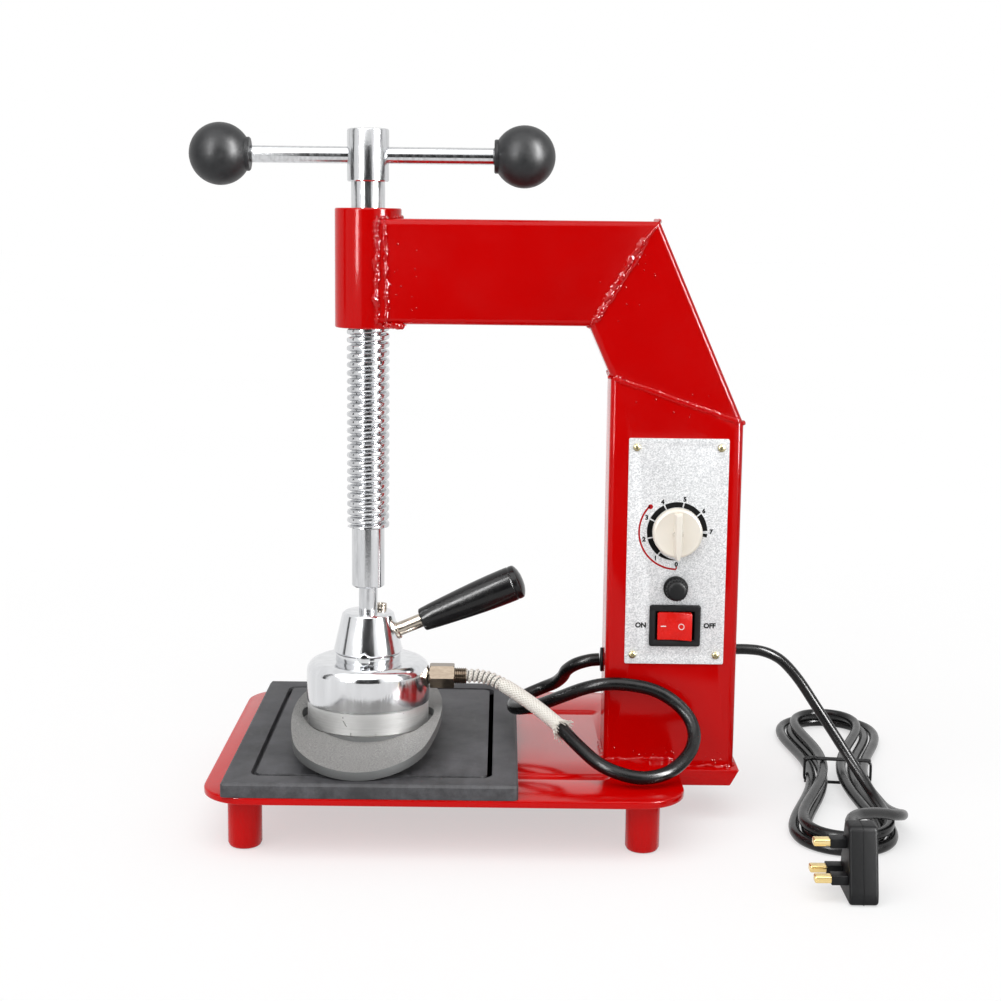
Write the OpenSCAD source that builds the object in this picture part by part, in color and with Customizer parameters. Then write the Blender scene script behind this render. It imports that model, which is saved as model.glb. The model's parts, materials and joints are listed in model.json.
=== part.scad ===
// Bench-top tyre vulcanizer: a screw press with a heated head over a rubber pad,
// on a welded tube frame whose column holds the timer, fuse and switch.

/* [Base] */
// Width of the base plate, left to right
base_w = 280; // [260:1:300]
// Depth of the base plate, front to back
base_d = 240; // [230:1:260]
// Thickness of the base plate
base_t = 4.5; // [3:0.5:6]
// Corner radius of the base plate
base_corner_r = 28; // [15:1:35]
// Length of the base plate that lies under the column
base_under = 44; // [20:1:70]
// Distance from the screw axis to the front edge of the base plate
base_front = 104; // [100:1:115]
// Diameter of a foot
foot_d = 20; // [14:1:24]
// Height of a foot
foot_h = 32; // [26:1:40]
// Distance from the plate's edges to the centre of a foot
foot_inset = 24; // [18:1:30]
// Width of the rubber pad
pad_w = 170; // [150:1:174]
// Depth of the rubber pad
pad_d = 230; // [210:1:230]
// Thickness of the rubber pad
pad_t = 8.5; // [6:0.5:10]

/* [Frame] */
// Depth of every frame tube, front to back
tube_d = 40; // [36:1:50]
// Wall thickness of the frame tubes
tube_wall = 2.5; // [2:0.5:4]
// Width of the column tube
column_w = 80; // [78:1:90]
// Distance from the screw axis to the column
throat = 146; // [136:1:150]
// Height of the arm tube and of the brace section
arm_h = 62; // [50:1:64]
// Height of the arm's top face above the floor
arm_top = 363; // [355:1:400]
// Where the brace's outer edge meets the arm's top, from the screw axis
brace_x = 173; // [165:1:178]
// Angle of the brace from the vertical
brace_angle = 24; // [20:1:28]
// Outer diameter of the nut tube
nut_d = 40; // [38:1:44]

/* [Press screw] */
// Major diameter of the trapezoidal thread
screw_d = 26; // [24:1:28]
// Thread pitch
pitch = 5; // [4:1:6]
// Length of the threaded stretch
thread_l = 190; // [180:5:200]
// Diameter of the swivel pin at the lower end
pin_d = 11.5; // [8:0.5:12]
// Length of the tommy bar
bar_l = 181; // [170:1:190]
// Diameter of the tommy bar
bar_d = 10; // [8:0.5:11]
// How far the tommy bar stands to the right of centre
bar_offset = 2.5; // [0:0.5:10]
// Diameter of a ball knob
ball_d = 37; // [30:1:40]

/* [Heated head] */
// Diameter of the heated block
block_d = 75; // [70:1:76]
// Height of the block below the cup
block_h = 14.7; // [12:0.1:18]
// Height of the cup
cup_h = 25; // [22:1:28]
// Height of the swivel cone
cone_h = 25; // [22:1:28]
// Diameter of the cone's top
cone_top_d = 31.4; // [29:0.2:34]
// Diameter of the cone's lower edge
cone_d = 42.5; // [41:0.5:44]
// Width of the curved plate
arc_w = 92; // [90:1:100]
// Length of the curved plate
arc_l = 196; // [180:2:198]
// Thickness of the curved plate
arc_t = 5; // [4:0.5:6]
// Radius of the curved plate's underside
arc_r = 105; // [95:1:130]
// Length of the grip
grip_l = 65; // [50:1:75]
// Tilt of the grip above the horizontal
grip_tilt = 23; // [10:1:30]

/* [Control panel] */
// Width of the panel
panel_w = 60; // [58:1:64]
// Height of the panel
panel_h = 138; // [134:1:150]
// Height of the panel's lower edge above the floor
panel_z = 97; // [94:1:104]
// Diameter of the timer knob
knob_d = 30; // [24:1:32]
// Diameter of the fuse cap
fuse_cap_d = 13; // [12:0.5:15]
// Width of the switch bezel
bezel_w = 31; // [30:0.5:33]
// Height of the switch bezel
bezel_h = 25.5; // [25:0.5:27]

/* [Leads] */
// Diameter of the heater lead
lead_d = 8; // [7:0.5:9]
// Diameter of the woven sleeve over the lead
sleeve_d = 9.2; // [8.2:0.2:10]
// Diameter of the mains lead
cord_d = 6.5; // [6:0.1:7]
// Half length of the hank's inner loop
hank_l = 130; // [125:1:140]

/* [Hidden] */
$fn = 64;

// Gap between bodies that move past each other
gap = 0.3;
// Radial play of a running fit
play = 0.06;
// Room between parts that are screwed or pushed together
seat = 0.05;
// Overlap that keeps cuts clean
eps = 0.5;

// Levels from the floor up
base_left = base_w - base_under - throat;
plate_top = foot_h + base_t;
pad_top = plate_top + pad_t;
arm_bottom = arm_top - arm_h;
nut_over = 6;
nut_under = 3;
nut_top = arm_top + nut_over;
nut_bottom = arm_bottom - nut_under;

// The frame's mitre corners, in the plane of the arm
column_l = throat;
column_r = throat + column_w;
brace_inner_x = brace_x - arm_h / cos(brace_angle);
mitre_a = [brace_inner_x + arm_h * tan(brace_angle), arm_bottom];
mitre_b = [brace_x, arm_top];
mitre_c = [column_r, arm_top - (column_r - brace_x) / tan(brace_angle)];
mitre_d = [column_l, arm_top - (column_l - brace_inner_x) / tan(brace_angle)];
function beyond(p, q) = p + 0.02 * (p - q);
tube_corner = 4;
arm_start = 6;
foot_bar_h = 10;
foot_bar_d = 54;
foot_bar_over = 3;
foot_bar_slant = 5.5;
foot_bar_l = 110;

// Heated head, stacked up from the pad
arc_bottom = pad_top + gap;
arc_seat = arc_bottom + arc_t + 3;
arc_centre_z = arc_bottom + arc_r;
block_bottom = arc_seat;
cup_bottom = block_bottom + block_h;
cup_top = cup_bottom + cup_h;
collar_h = 5;
collar_d = 40;
cone_bottom = cup_top + collar_h;
cone_top = cone_bottom + cone_h;
cup_wall = 2;
cup_d = block_d + 1;
pin_floor = cone_bottom + 8;
washer_t = 2;
head_stud_d = 10;
head_stud_bottom = cup_bottom - 8;

// Press screw levels
screw_core_d = screw_d - 1.1 * pitch;
shank_d = 20;
shank_bottom = cone_top + 16;
thread_bottom = 176;
thread_top = thread_bottom + thread_l;
boss_d = 25;
boss_bottom = nut_top + 15.5;
boss_h = 31;
bar_z = boss_bottom + boss_h / 2;
bar_left = bar_l / 2 - bar_offset;
bar_right = bar_l / 2 + bar_offset;
ball_collar_d = 20;
ball_collar_end = 17.9;

// Grip on the cone
grip_shaft_d = 8.5;
grip_small_d = 14.4;
grip_big_d = 21.5;
grip_dome = 2.5;
grip_gap = 16;
grip_root_x = 18.5;
grip_root_z = cone_bottom + 13.5;
grip_sink = 10;

// Control panel and what it carries
panel_t = 1.5;
panel_x = column_l + 41.5;
panel_top = panel_z + panel_h;
panel_y = -tube_d / 2;
panel_face = panel_y - panel_t;
dial_z = panel_top - 56.5;
fuse_z = panel_z + 47;
switch_z = panel_z + 24;
window_w = panel_w - 18;
window_h = panel_h - 24;
panel_screw_d = 4.5;
panel_screw_x = panel_w / 2 - 4.7;
panel_screw_z = panel_h / 2 - 5.5;
timer_w = 40;
timer_depth = 26;
timer_bush_d = 9;
shaft_d = 6;
knob_h = 13;
knob_lift = 1;
fuse_barrel_d = 11.5;
fuse_bore_d = 7;
fuse_depth = 33;
fuse_flange_d = 15;
fuse_flange_t = 1.6;
fuse_d = 5.2;
fuse_l = 20;
fuse_stem_d = 6.6;
bezel_t = 2;
switch_case_w = 27;
switch_case_h = 21.6;
switch_depth = 20;
rocker_w = 21;
rocker_h = 17;
rocker_tilt = 8;

// Lead entries on the column
lead_hole_d = lead_d + 3;
lead_entry = [column_l, 8, 92];
mains_hole_d = cord_d + 3;
mains_entry = [column_r, 6, 100];
gland_af = 14;
gland_z = cup_bottom + 14.5;
gland_start = cup_d / 2;
gland_hex_l = 15.6;
nipple_d = 10;
nipple_l = 7.5;
gland_end = gland_start + gland_hex_l + nipple_l;

// Places of the four feet
foot_left_x = foot_inset - base_left;
foot_right_x = base_w - base_left - foot_inset;
foot_front_y = foot_inset - base_front;
foot_rear_y = base_d - base_front - foot_inset;

// Places of the two small screws on the cone
clamp_turn = 268;
clamp_z = cup_top + 4.6;
clamp_d = 4;
set_screw_turn = 52;
set_screw_r = 12;
set_screw_d = 4;

// The block's spigot, what lies on it, and the curved plate's screws
spigot_h = 6;
element_t = 4;
element_d = 0.78 * block_d;
element_bore_d = 0.48 * block_d;
thermostat_d = 12;
thermostat_h = 5;
thermostat_cap_d = 0.75 * thermostat_d;
thermostat_x = -11.8;
arc_screw_d = 4;
arc_screw_head_d = 2 * arc_screw_d;
arc_screw_head_h = arc_screw_d / 2;
arc_screw_bite = 8;
arc_screw_y = 0.32 * block_d;

// Middle of the part's outline, so that the origin lies under it
outline_left = -bar_left - ball_d / 2;
outline_right = column_r + foot_bar_over;
press_x = -(outline_left + outline_right) / 2;
press_y = base_front - base_d / 2;

// Route of the heater lead from the gland to the column, with its sleeve's last point
lead_route = [[gland_end, 0, gland_z], [gland_end + 7, 0, gland_z], [77, -2.3, 81], [89, -10, 76.5],
    [104, -25, 70], [118, -43, 63], [129, -59, 55.5], [140, -71, 49], [152, -77, 45], [165, -79, 43],
    [178, -75, 44], [188, -67, 47.5], [195.5, -56.5, 53], [198.5, -46.5, 60], [196, -39, 68],
    [188, -33.5, 76], [175.5, -30, 82.5], [160, -29, 85.5], [146, -28, 85.5], [133, -24, 81.5],
    [120, -15, 74], [107, -3, 65.5], [97, 8, 60], [91, 19, 57.3], [91.5, 30.5, 57.6], [98.5, 39, 60],
    [108.5, 41.5, 64], [117.5, 36, 69.5], [121.8, 26.5, 76], [124, 17.5, 82.5], [129.5, 11, 88],
    lead_entry - [8.5, -0.2, 0.8], lead_entry - [2, 0, 0]];
sleeve_last = 5;
lead_sides = 10;

// The hank: its loops spiral in on the upper layer and out again on the lower one
hank_centre = [302, 50];
hank_turn = -7;
hank_waist = 4.2;
hank_bulge = 45;
hank_step = 7.4;
hank_first = 0.63;
hank_climb = 1.5;
hank_last = 3.56;
hank_layer = 7.2;
hank_rings = 24;
hank_sides = 6;
tie_w = 4;
tie_t = 1;
floor_z = cord_d / 2 + 0.2;
tie_lift = tie_t + 0.4;
function smooth(x) = x <= 0 ? 0 : x >= 1 ? 1 : x * x * (3 - 2 * x);
function hank_rank(u) = abs(hank_climb - u);
function hank_level(u) = floor_z + hank_layer * (1 - smooth((u - hank_climb) / 0.5 + 0.5))
    + tie_lift * cos(360 * u) ^ 4;
function hank_side(t) = unit([-hank_l * sin(t),
    cos(t) * (hank_waist + hank_bulge * (cos(t) ^ 2 - 2 * sin(t) ^ 2))]);
function hank_at(u) = let(
    t = 90 - 360 * u,
    out = hank_step * hank_rank(u) * hank_side(t),
    x = -sin(t) * (hank_waist + hank_bulge * cos(t) ^ 2) + out.x,
    y = hank_l * cos(t) + out.y)
    [hank_centre.x + x * cos(hank_turn) - y * sin(hank_turn),
     hank_centre.y + x * sin(hank_turn) + y * cos(hank_turn), hank_level(u)];
hank_count = ceil((hank_last - hank_first) * hank_rings);
hank_route = [for (i = [0 : hank_count]) hank_at(hank_first + (hank_last - hank_first) * i / hank_count)];
hank_near = 0.02;
hank_seam = 0.0006;

// Route of the mains lead from the column to the hank, and from the hank to the plug
plug_x = 279;
plug_y = -150;
plug_h = 42;
plug_w = 34;
plug_top_w = 14;
plug_t = 16;
plug_earth_z = 31;
plug_pin_y = 8;
plug_pin_z = 13;
plug_pin = [6.4, 4];
plug_pin_out = 18;
plug_sleeve_l = 9;
plug_relief = [[0, 5], [18, 4.2]];
plug_entry = [plug_x, plug_y + plug_relief[1].x, 31];
mains_route = [[mains_entry.x + 1.5, mains_entry.y, mains_entry.z],
    [mains_entry.x + 10, mains_entry.y, mains_entry.z], [244.7, 6.3, 99], [252.9, 7.6, 95.8],
    [260.4, 9.7, 90.2], [270.2, 11.8, 78.8], [280.8, 11, 63.2], [291.1, 6.4, 47.8], [300.5, -0.7, 33.6],
    [308.1, -9.9, 22], [313.2, -21, 14.1], hank_at(hank_first - hank_near),
    hank_at(hank_first - hank_seam)];
tail_route = [hank_at(hank_last + hank_seam), hank_at(hank_last + hank_near), [324.2, -26.3, 6.2],
    [325, -40, 9.6], [324.4, -50.5, 12.9], [322.1, -59.6, 15.8], [318.4, -67.4, 18.4],
    [313.2, -74.4, 20.9], [306.2, -81.6, 24], [298, -90, 27], [290.4, -98, 29.2], [286.3, -102.9, 30],
    [282.4, -109.5, 30.8], [279.9, -117.1, 31], plug_entry + [0, 7, 0], plug_entry];

function unit(v) = v / norm(v);
function tangent(p, i) = unit(p[min(i + 1, len(p) - 1)] - p[max(i - 1, 0)]);
function square_to(n, t) = unit(n - (n * t) * t);
function normals(p, i = 0, found = []) = i == len(p) ? found :
    normals(p, i + 1, concat(found, [square_to(i == 0 ? [0.1, 0.2, 1] : found[i - 1], tangent(p, i))]));
function least_gap(p, d, apart) = min([for (i = [0 : len(p) - 1]) for (j = [i + apart : 1 : len(p) - 1])
    norm(p[i] - p[j])]) - d;

// Round tube along the points first to last of a route
module sweep(route, d, sides, first, last) {
    around = normals(route);
    ring_count = last - first + 1;
    points = [for (i = [first : last]) let(t = tangent(route, i), n = around[i], b = cross(t, n))
        for (k = [0 : sides - 1]) route[i] + d / 2 * (cos(360 * k / sides) * n + sin(360 * k / sides) * b)];
    walls = [for (i = [0 : ring_count - 2]) for (k = [0 : sides - 1])
        let(a = i * sides + k, b = i * sides + (k + 1) % sides)
        each [[a, a + sides, b + sides], [a, b + sides, b]]];
    caps = [[for (k = [0 : sides - 1]) k], [for (k = [sides - 1 : -1 : 0]) (ring_count - 1) * sides + k]];
    polyhedron(points, concat(walls, caps));
}

// Shifts from the screw axis to the part's own origin
module at_press() {
    translate([press_x, press_y, 0])
        children();
}

// Lies along X instead of Z
module along_x() {
    rotate([0, 90, 0])
        children();
}

// Points to the front instead of up
module to_front() {
    rotate([90, 0, 0])
        children();
}

// Points to the back instead of up
module to_back() {
    rotate([-90, 0, 0])
        children();
}

// Flat rectangle with round corners, centred
module round_rect(w, h, r) {
    square([w - 2 * r, h], center = true);
    square([w, h - 2 * r], center = true);
    for (x = [-1, 1])
        for (y = [-1, 1])
            translate([x * (w / 2 - r), y * (h / 2 - r)])
                circle(r);
}

// Hollow section of a frame tube
module tube_section(w, h) {
    difference() {
        round_rect(w, h, tube_corner);
        round_rect(w - 2 * tube_wall, h - 2 * tube_wall, tube_corner - tube_wall);
    }
}

// Slab across the frame's depth, from an outline in the plane of the arm
module across(outline) {
    translate([0, tube_d, 0])
        to_front()
            linear_extrude(2 * tube_d)
                polygon(outline);
}

module base_outline() {
    translate([base_w / 2 - base_left, base_d / 2 - base_front])
        round_rect(base_w, base_d, base_corner_r);
}

module base_plate() {
    rib_r = 7;
    rib_sink = 4.5;
    rib_y = [-58, 84];
    rib_x = [-48, 142];
    color("firebrick")
        at_press()
            difference() {
                translate([0, 0, foot_h])
                    linear_extrude(base_t)
                        base_outline();
                // Shallow stiffening grooves with round ends
                for (y = rib_y)
                    translate([0, y, plate_top + rib_sink]) {
                        translate([rib_x[0], 0, 0])
                            along_x()
                                cylinder(r = rib_r, h = rib_x[1] - rib_x[0]);
                        for (x = rib_x)
                            translate([x, 0, 0])
                                sphere(rib_r);
                    }
                // Notch that the column stands in
                translate([column_l - seat, -tube_d / 2 - seat, foot_h - eps])
                    cube([column_w, tube_d + 2 * seat, base_t + 2 * eps]);
            }
}

// One foot: a turned peg with an eased lower edge
module foot(x, y) {
    edge = 3;
    color("firebrick")
        at_press()
            translate([x, y, 0])
                rotate_extrude()
                    polygon([[0, 0], [foot_d / 2 - edge, 0], [foot_d / 2 - 0.3 * edge, 0.3 * edge],
                        [foot_d / 2, edge], [foot_d / 2, foot_h], [0, foot_h]]);
}

module foot_front_left() {
    foot(foot_left_x, foot_front_y);
}

module foot_front_right() {
    foot(foot_right_x, foot_front_y);
}

module foot_rear_left() {
    foot(foot_left_x, foot_rear_y);
}

module foot_rear_right() {
    foot(foot_right_x, foot_rear_y);
}

// Bar of the pad's section, bevelled along its top edges
module bevelled_bar(w, l, bevel) {
    to_front()
        linear_extrude(l, center = true)
            polygon([[-w / 2, 0], [w / 2, 0], [w / 2, pad_t - bevel], [w / 2 - bevel, pad_t],
                [bevel - w / 2, pad_t], [-w / 2, pad_t - bevel]]);
}

// Rubber pad with bevelled top edges and a moulded border groove
module rubber_pad() {
    pad_left = -77;
    bevel = 1.5;
    corner = 3;
    border = 15;
    groove_w = 3;
    groove_depth = 1.2;
    color("dimgray")
        at_press()
            translate([pad_left + pad_w / 2, pad_d / 2 - base_front, plate_top])
                difference() {
                    intersection() {
                        linear_extrude(pad_t)
                            round_rect(pad_w, pad_d, corner);
                        bevelled_bar(pad_w, pad_d + 2 * eps, bevel);
                        rotate(90)
                            bevelled_bar(pad_d, pad_w + 2 * eps, bevel);
                    }
                    translate([0, 0, pad_t - groove_depth])
                        linear_extrude(groove_depth + eps)
                            difference() {
                                round_rect(pad_w - 2 * border, pad_d - 2 * border, 7);
                                round_rect(pad_w - 2 * border - 2 * groove_w,
                                    pad_d - 2 * border - 2 * groove_w, 4);
                            }
                }
}

// Flat bar welded under the plate and the column, its outer end cut on a slant
module column_foot_bar() {
    bar_end = column_r + foot_bar_over;
    color("firebrick")
        at_press()
            translate([0, foot_bar_d / 2, foot_h - foot_bar_h])
                to_front()
                    linear_extrude(foot_bar_d)
                        polygon([[bar_end - foot_bar_l, 0], [bar_end - foot_bar_slant, 0],
                            [bar_end, foot_bar_h], [bar_end - foot_bar_l, foot_bar_h]]);
}

module column_tube() {
    color("firebrick")
        at_press()
            difference() {
                intersection() {
                    translate([column_l + column_w / 2, 0, foot_h])
                        linear_extrude(arm_top - foot_h)
                            tube_section(column_w, tube_d);
                    across([[column_l - eps, foot_h], [column_r + eps, foot_h],
                        beyond(mitre_c, mitre_d), beyond(mitre_d, mitre_c)]);
                }
                // Window behind the panel
                translate([panel_x - window_w / 2, panel_y - eps, panel_z + (panel_h - window_h) / 2])
                    cube([window_w, tube_wall + 2 * eps, window_h]);
                panel_screw_places()
                    to_back()
                        cylinder(d = 2.6, h = tube_wall + 2 * panel_t + eps);
                translate([column_l - eps, lead_entry.y, lead_entry.z])
                    along_x()
                        cylinder(d = lead_hole_d, h = tube_wall + 2 * eps);
                translate([column_r - tube_wall - eps, mains_entry.y, mains_entry.z])
                    along_x()
                        cylinder(d = mains_hole_d, h = tube_wall + 2 * eps);
            }
}

module brace_tube() {
    brace_l = 260;
    color("firebrick")
        at_press()
            intersection() {
                translate([brace_x, 0, arm_top])
                    rotate([0, 180 - brace_angle, 0])
                        translate([arm_h / 2, 0, -brace_l / 2])
                            linear_extrude(brace_l)
                                tube_section(arm_h, tube_d);
                across([beyond(mitre_a, mitre_b), beyond(mitre_b, mitre_a),
                    beyond(mitre_c, mitre_d), beyond(mitre_d, mitre_c)]);
            }
}

module arm_tube() {
    color("firebrick")
        at_press()
            difference() {
                intersection() {
                    translate([0, 0, arm_bottom + arm_h / 2])
                        along_x()
                            linear_extrude(column_r)
                                tube_section(arm_h, tube_d);
                    across([[arm_start, arm_bottom - eps], beyond(mitre_a, mitre_b),
                        beyond(mitre_b, mitre_a), [arm_start, arm_top + eps]]);
                }
                translate([0, 0, nut_bottom])
                    cylinder(d = nut_d + 2 * seat, h = nut_top);
            }
}

module nut_tube() {
    color("firebrick")
        at_press()
            translate([0, 0, nut_bottom])
                difference() {
                    cylinder(d = nut_d, h = nut_top - nut_bottom);
                    translate([0, 0, -eps])
                        cylinder(d = screw_d + 2 * gap, h = nut_top - nut_bottom + 2 * eps);
                }
}

// The four corners of the panel, on its front face
module panel_screw_places() {
    for (x = [-1, 1])
        for (z = [-1, 1])
            translate([panel_x + x * panel_screw_x, panel_face, panel_z + panel_h / 2 + z * panel_screw_z])
                children();
}

module panel_plate() {
    color("gainsboro")
        at_press()
            difference() {
                translate([panel_x, panel_y, panel_z + panel_h / 2])
                    to_front()
                        linear_extrude(panel_t)
                            round_rect(panel_w, panel_h, 1);
                panel_screw_places()
                    to_back()
                        translate([0, 0, -eps])
                            cylinder(d = 3.2, h = panel_t + 2 * eps);
                translate([panel_x, panel_face - eps, dial_z])
                    to_back()
                        cylinder(d = timer_bush_d + 2 * seat, h = panel_t + 2 * eps);
                translate([panel_x, panel_face - eps, fuse_z])
                    to_back()
                        cylinder(d = fuse_barrel_d + 2 * seat, h = panel_t + 2 * eps);
                translate([panel_x - switch_case_w / 2 - seat, panel_face - eps,
                    switch_z - switch_case_h / 2 - seat])
                    cube([switch_case_w + 2 * seat, panel_t + 2 * eps, switch_case_h + 2 * seat]);
            }
}

// Four pan-head screws
module panel_screws() {
    head_t = 1.6;
    head_edge = 0.7;
    screw_l = 6;
    color("silver")
        at_press()
            panel_screw_places()
                to_back() {
                    translate([0, 0, -head_t])
                        rotate_extrude()
                            polygon([[0, 0], [panel_screw_d / 2 - head_edge, 0],
                                [panel_screw_d / 2, head_edge], [panel_screw_d / 2, head_t], [0, head_t]]);
                    cylinder(d = 2.5, h = screw_l);
                }
}

// Clockwork timer behind the panel, with the bush that its shaft turns in
module timer_body() {
    color("lightslategray")
        at_press()
            difference() {
                union() {
                    translate([panel_x - timer_w / 2, panel_y, dial_z - timer_w / 2])
                        cube([timer_w, timer_depth, timer_w]);
                    translate([panel_x, panel_face, dial_z])
                        to_back()
                            cylinder(d = timer_bush_d, h = panel_t + eps);
                }
                translate([panel_x, panel_face - eps, dial_z])
                    to_back()
                        cylinder(d = shaft_d + 2 * play, h = timer_depth / 2 + panel_t + eps);
            }
}

module timer_shaft() {
    shaft_out = 9;
    shaft_in = timer_depth / 2 - 1;
    color("silver")
        at_press()
            translate([panel_x, panel_face - shaft_out, dial_z])
                to_back()
                    cylinder(d = shaft_d, h = shaft_out + panel_t + shaft_in);
}

// Ivory knob: a skirt, a raised grip bar across it and a pointer at its lower end
module timer_knob() {
    skirt_h = 6;
    grip_w = 7;
    grip_reach = 16.5;
    color("ivory")
        at_press()
            translate([panel_x, panel_face - knob_lift, dial_z])
                difference() {
                    to_front()
                        union() {
                            cylinder(d = knob_d, h = skirt_h - 1);
                            translate([0, 0, skirt_h - 1])
                                cylinder(d1 = knob_d, d2 = knob_d - 2, h = 1);
                            intersection() {
                                translate([-grip_w / 2, -grip_reach, 0])
                                    cube([grip_w, grip_reach + knob_d / 2, knob_h]);
                                translate([0, -grip_reach + knob_d / 2, 0])
                                    cylinder(d = knob_d, h = knob_h);
                            }
                        }
                    translate([0, eps, 0])
                        to_front()
                            cylinder(d = shaft_d + 2 * seat, h = 8.5 + eps);
                }
}

module fuse_holder() {
    color("black")
        at_press()
            translate([panel_x, panel_face, fuse_z])
                difference() {
                    union() {
                        to_front()
                            cylinder(d = fuse_flange_d, h = fuse_flange_t);
                        to_back()
                            cylinder(d = fuse_barrel_d, h = fuse_depth);
                    }
                    translate([0, -fuse_flange_t - eps, 0])
                        to_back()
                            cylinder(d = fuse_bore_d, h = fuse_depth + fuse_flange_t - 2);
                }
}

// Hexagon nut that clamps the fuse holder behind the panel
module fuse_nut() {
    nut_t = 4;
    nut_af = 15;
    color("dimgray")
        at_press()
            translate([panel_x, panel_y, fuse_z])
                to_back()
                    difference() {
                        cylinder(d = nut_af / cos(30), h = nut_t, $fn = 6);
                        translate([0, 0, -eps])
                            cylinder(d = fuse_barrel_d + 2 * seat, h = nut_t + 2 * eps);
                    }
}

// Glass link with its two metal caps, lying in the holder
module fuse_link() {
    link_cap_l = 5.5;
    color("lightcyan")
        at_press()
            translate([panel_x, panel_face + 8, fuse_z])
                to_back()
                    union() {
                        cylinder(d = fuse_d - 0.5, h = fuse_l);
                        for (z = [0, fuse_l - link_cap_l])
                            translate([0, 0, z])
                                cylinder(d = fuse_d, h = link_cap_l);
                    }
}

// Bayonet cap with the stem that holds the link
module fuse_cap() {
    cap_l = 9;
    cap_edge = 1;
    stem_l = 9;
    pocket_l = 4;
    slot_w = 1.6;
    color("black")
        at_press()
            translate([panel_x, panel_face - fuse_flange_t - gap, fuse_z])
                difference() {
                    union() {
                        to_front()
                            rotate_extrude()
                                polygon([[0, 0], [fuse_cap_d / 2, 0], [fuse_cap_d / 2, cap_l - cap_edge],
                                    [fuse_cap_d / 2 - cap_edge, cap_l], [0, cap_l]]);
                        to_back()
                            cylinder(d = fuse_stem_d, h = stem_l + pocket_l);
                    }
                    translate([0, stem_l, 0])
                        to_back()
                            cylinder(d = fuse_d + 2 * play, h = pocket_l + eps);
                    translate([-slot_w / 2, -cap_l - eps, -fuse_cap_d / 2])
                        cube([slot_w, 1 + eps, fuse_cap_d]);
                }
}

// Snap-in switch: bezel in front of the panel, case behind it, open for the rocker
module switch_body() {
    well_depth = 7;
    color("black")
        at_press()
            translate([panel_x, panel_face, switch_z])
                difference() {
                    union() {
                        to_front()
                            linear_extrude(bezel_t)
                                round_rect(bezel_w, bezel_h, 1.5);
                        translate([-switch_case_w / 2, 0, -switch_case_h / 2])
                            cube([switch_case_w, switch_depth, switch_case_h]);
                    }
                    translate([-rocker_w / 2 - 1.2, -bezel_t - eps, -rocker_h / 2 - gap])
                        cube([rocker_w + 2.4, bezel_t + well_depth + eps, rocker_h + 2 * gap]);
                }
}

// Rocker with two faces that meet in a shallow valley, the ON side pressed in
module switch_rocker() {
    face_rise = 3.2;
    valley = 1.2;
    skirt = 3;
    color("red")
        at_press()
            translate([panel_x, panel_face - bezel_t, switch_z - rocker_h / 2])
                rotate([0, 0, -rocker_tilt])
                    linear_extrude(rocker_h)
                        polygon([[-rocker_w / 2, -face_rise], [0, -valley], [rocker_w / 2, -face_rise],
                            [rocker_w / 2 - 1, skirt], [0, skirt + 1.5], [-rocker_w / 2 + 1, skirt]]);
}

// Three-way terminal strip on the column's rear wall
module terminal_block() {
    block = [36, 14, 16];
    ways = 3;
    way_step = 11;
    color("white")
        at_press()
            translate([column_l + column_w / 2, tube_d / 2 - tube_wall - block.y, 62])
                difference() {
                    translate([-block.x / 2, 0, 0])
                        cube(block);
                    for (i = [0 : ways - 1])
                        translate([(i - (ways - 1) / 2) * way_step, block.y / 2, -eps])
                            cylinder(d = 5, h = block.z + 2 * eps);
                }
}

// Grommet: a collar through the wall with a flange on each side, centred on its bore
module grommet(hole_d, bore_d) {
    flange = 1.5;
    color("black")
        along_x()
            rotate_extrude()
                polygon([[bore_d / 2, -flange], [hole_d / 2 + 2, -flange], [hole_d / 2 + 2, 0],
                    [hole_d / 2 - seat, 0], [hole_d / 2 - seat, tube_wall], [hole_d / 2 + 2, tube_wall],
                    [hole_d / 2 + 2, tube_wall + flange], [bore_d / 2, tube_wall + flange]]);
}

module lead_grommet() {
    at_press()
        translate(lead_entry)
            grommet(lead_hole_d, lead_d - 1.5);
}

module mains_grommet() {
    at_press()
        translate(mains_entry - [tube_wall, 0, 0])
            grommet(mains_hole_d, cord_d - 1.5);
}

// Bronze washer under the swivel pin
module thrust_washer() {
    color("peru")
        at_press()
            translate([0, 0, pin_floor + gap])
                cylinder(d = pin_d - 0.5, h = washer_t);
}

// Screw: swivel pin, shank, thread, neck and the boss that the tommy bar goes through
module press_screw() {
    pin_bottom = pin_floor + gap + washer_t + gap;
    ridge_w = 0.45 * pitch;
    color("silver")
        at_press()
            difference() {
                union() {
                    translate([0, 0, pin_bottom])
                        cylinder(d = pin_d, h = shank_bottom - pin_bottom + eps);
                    translate([0, 0, shank_bottom])
                        cylinder(d = shank_d, h = thread_bottom - shank_bottom + eps);
                    translate([0, 0, thread_bottom])
                        cylinder(d = screw_core_d, h = boss_bottom - thread_bottom + eps);
                    // Ridges stand for the thread, which has the same pitch
                    for (z = [thread_bottom : pitch : thread_top - pitch])
                        translate([0, 0, z])
                            rotate_extrude()
                                polygon([[0, 0], [screw_core_d / 2, 0], [screw_d / 2, 0.2 * pitch],
                                    [screw_d / 2, 0.2 * pitch + ridge_w],
                                    [screw_core_d / 2, 0.4 * pitch + ridge_w], [0, 0.4 * pitch + ridge_w]]);
                    translate([0, 0, boss_bottom])
                        cylinder(d = boss_d, h = boss_h - 1);
                    translate([0, 0, boss_bottom + boss_h - 1])
                        cylinder(d1 = boss_d, d2 = boss_d - 2, h = 1);
                }
                translate([-boss_d, 0, bar_z])
                    along_x()
                        cylinder(d = bar_d + 2 * play, h = 2 * boss_d);
            }
}

module handle_bar() {
    color("silver")
        at_press()
            translate([-bar_left, 0, bar_z])
                along_x()
                    cylinder(d = bar_d, h = bar_l);
}

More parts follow.
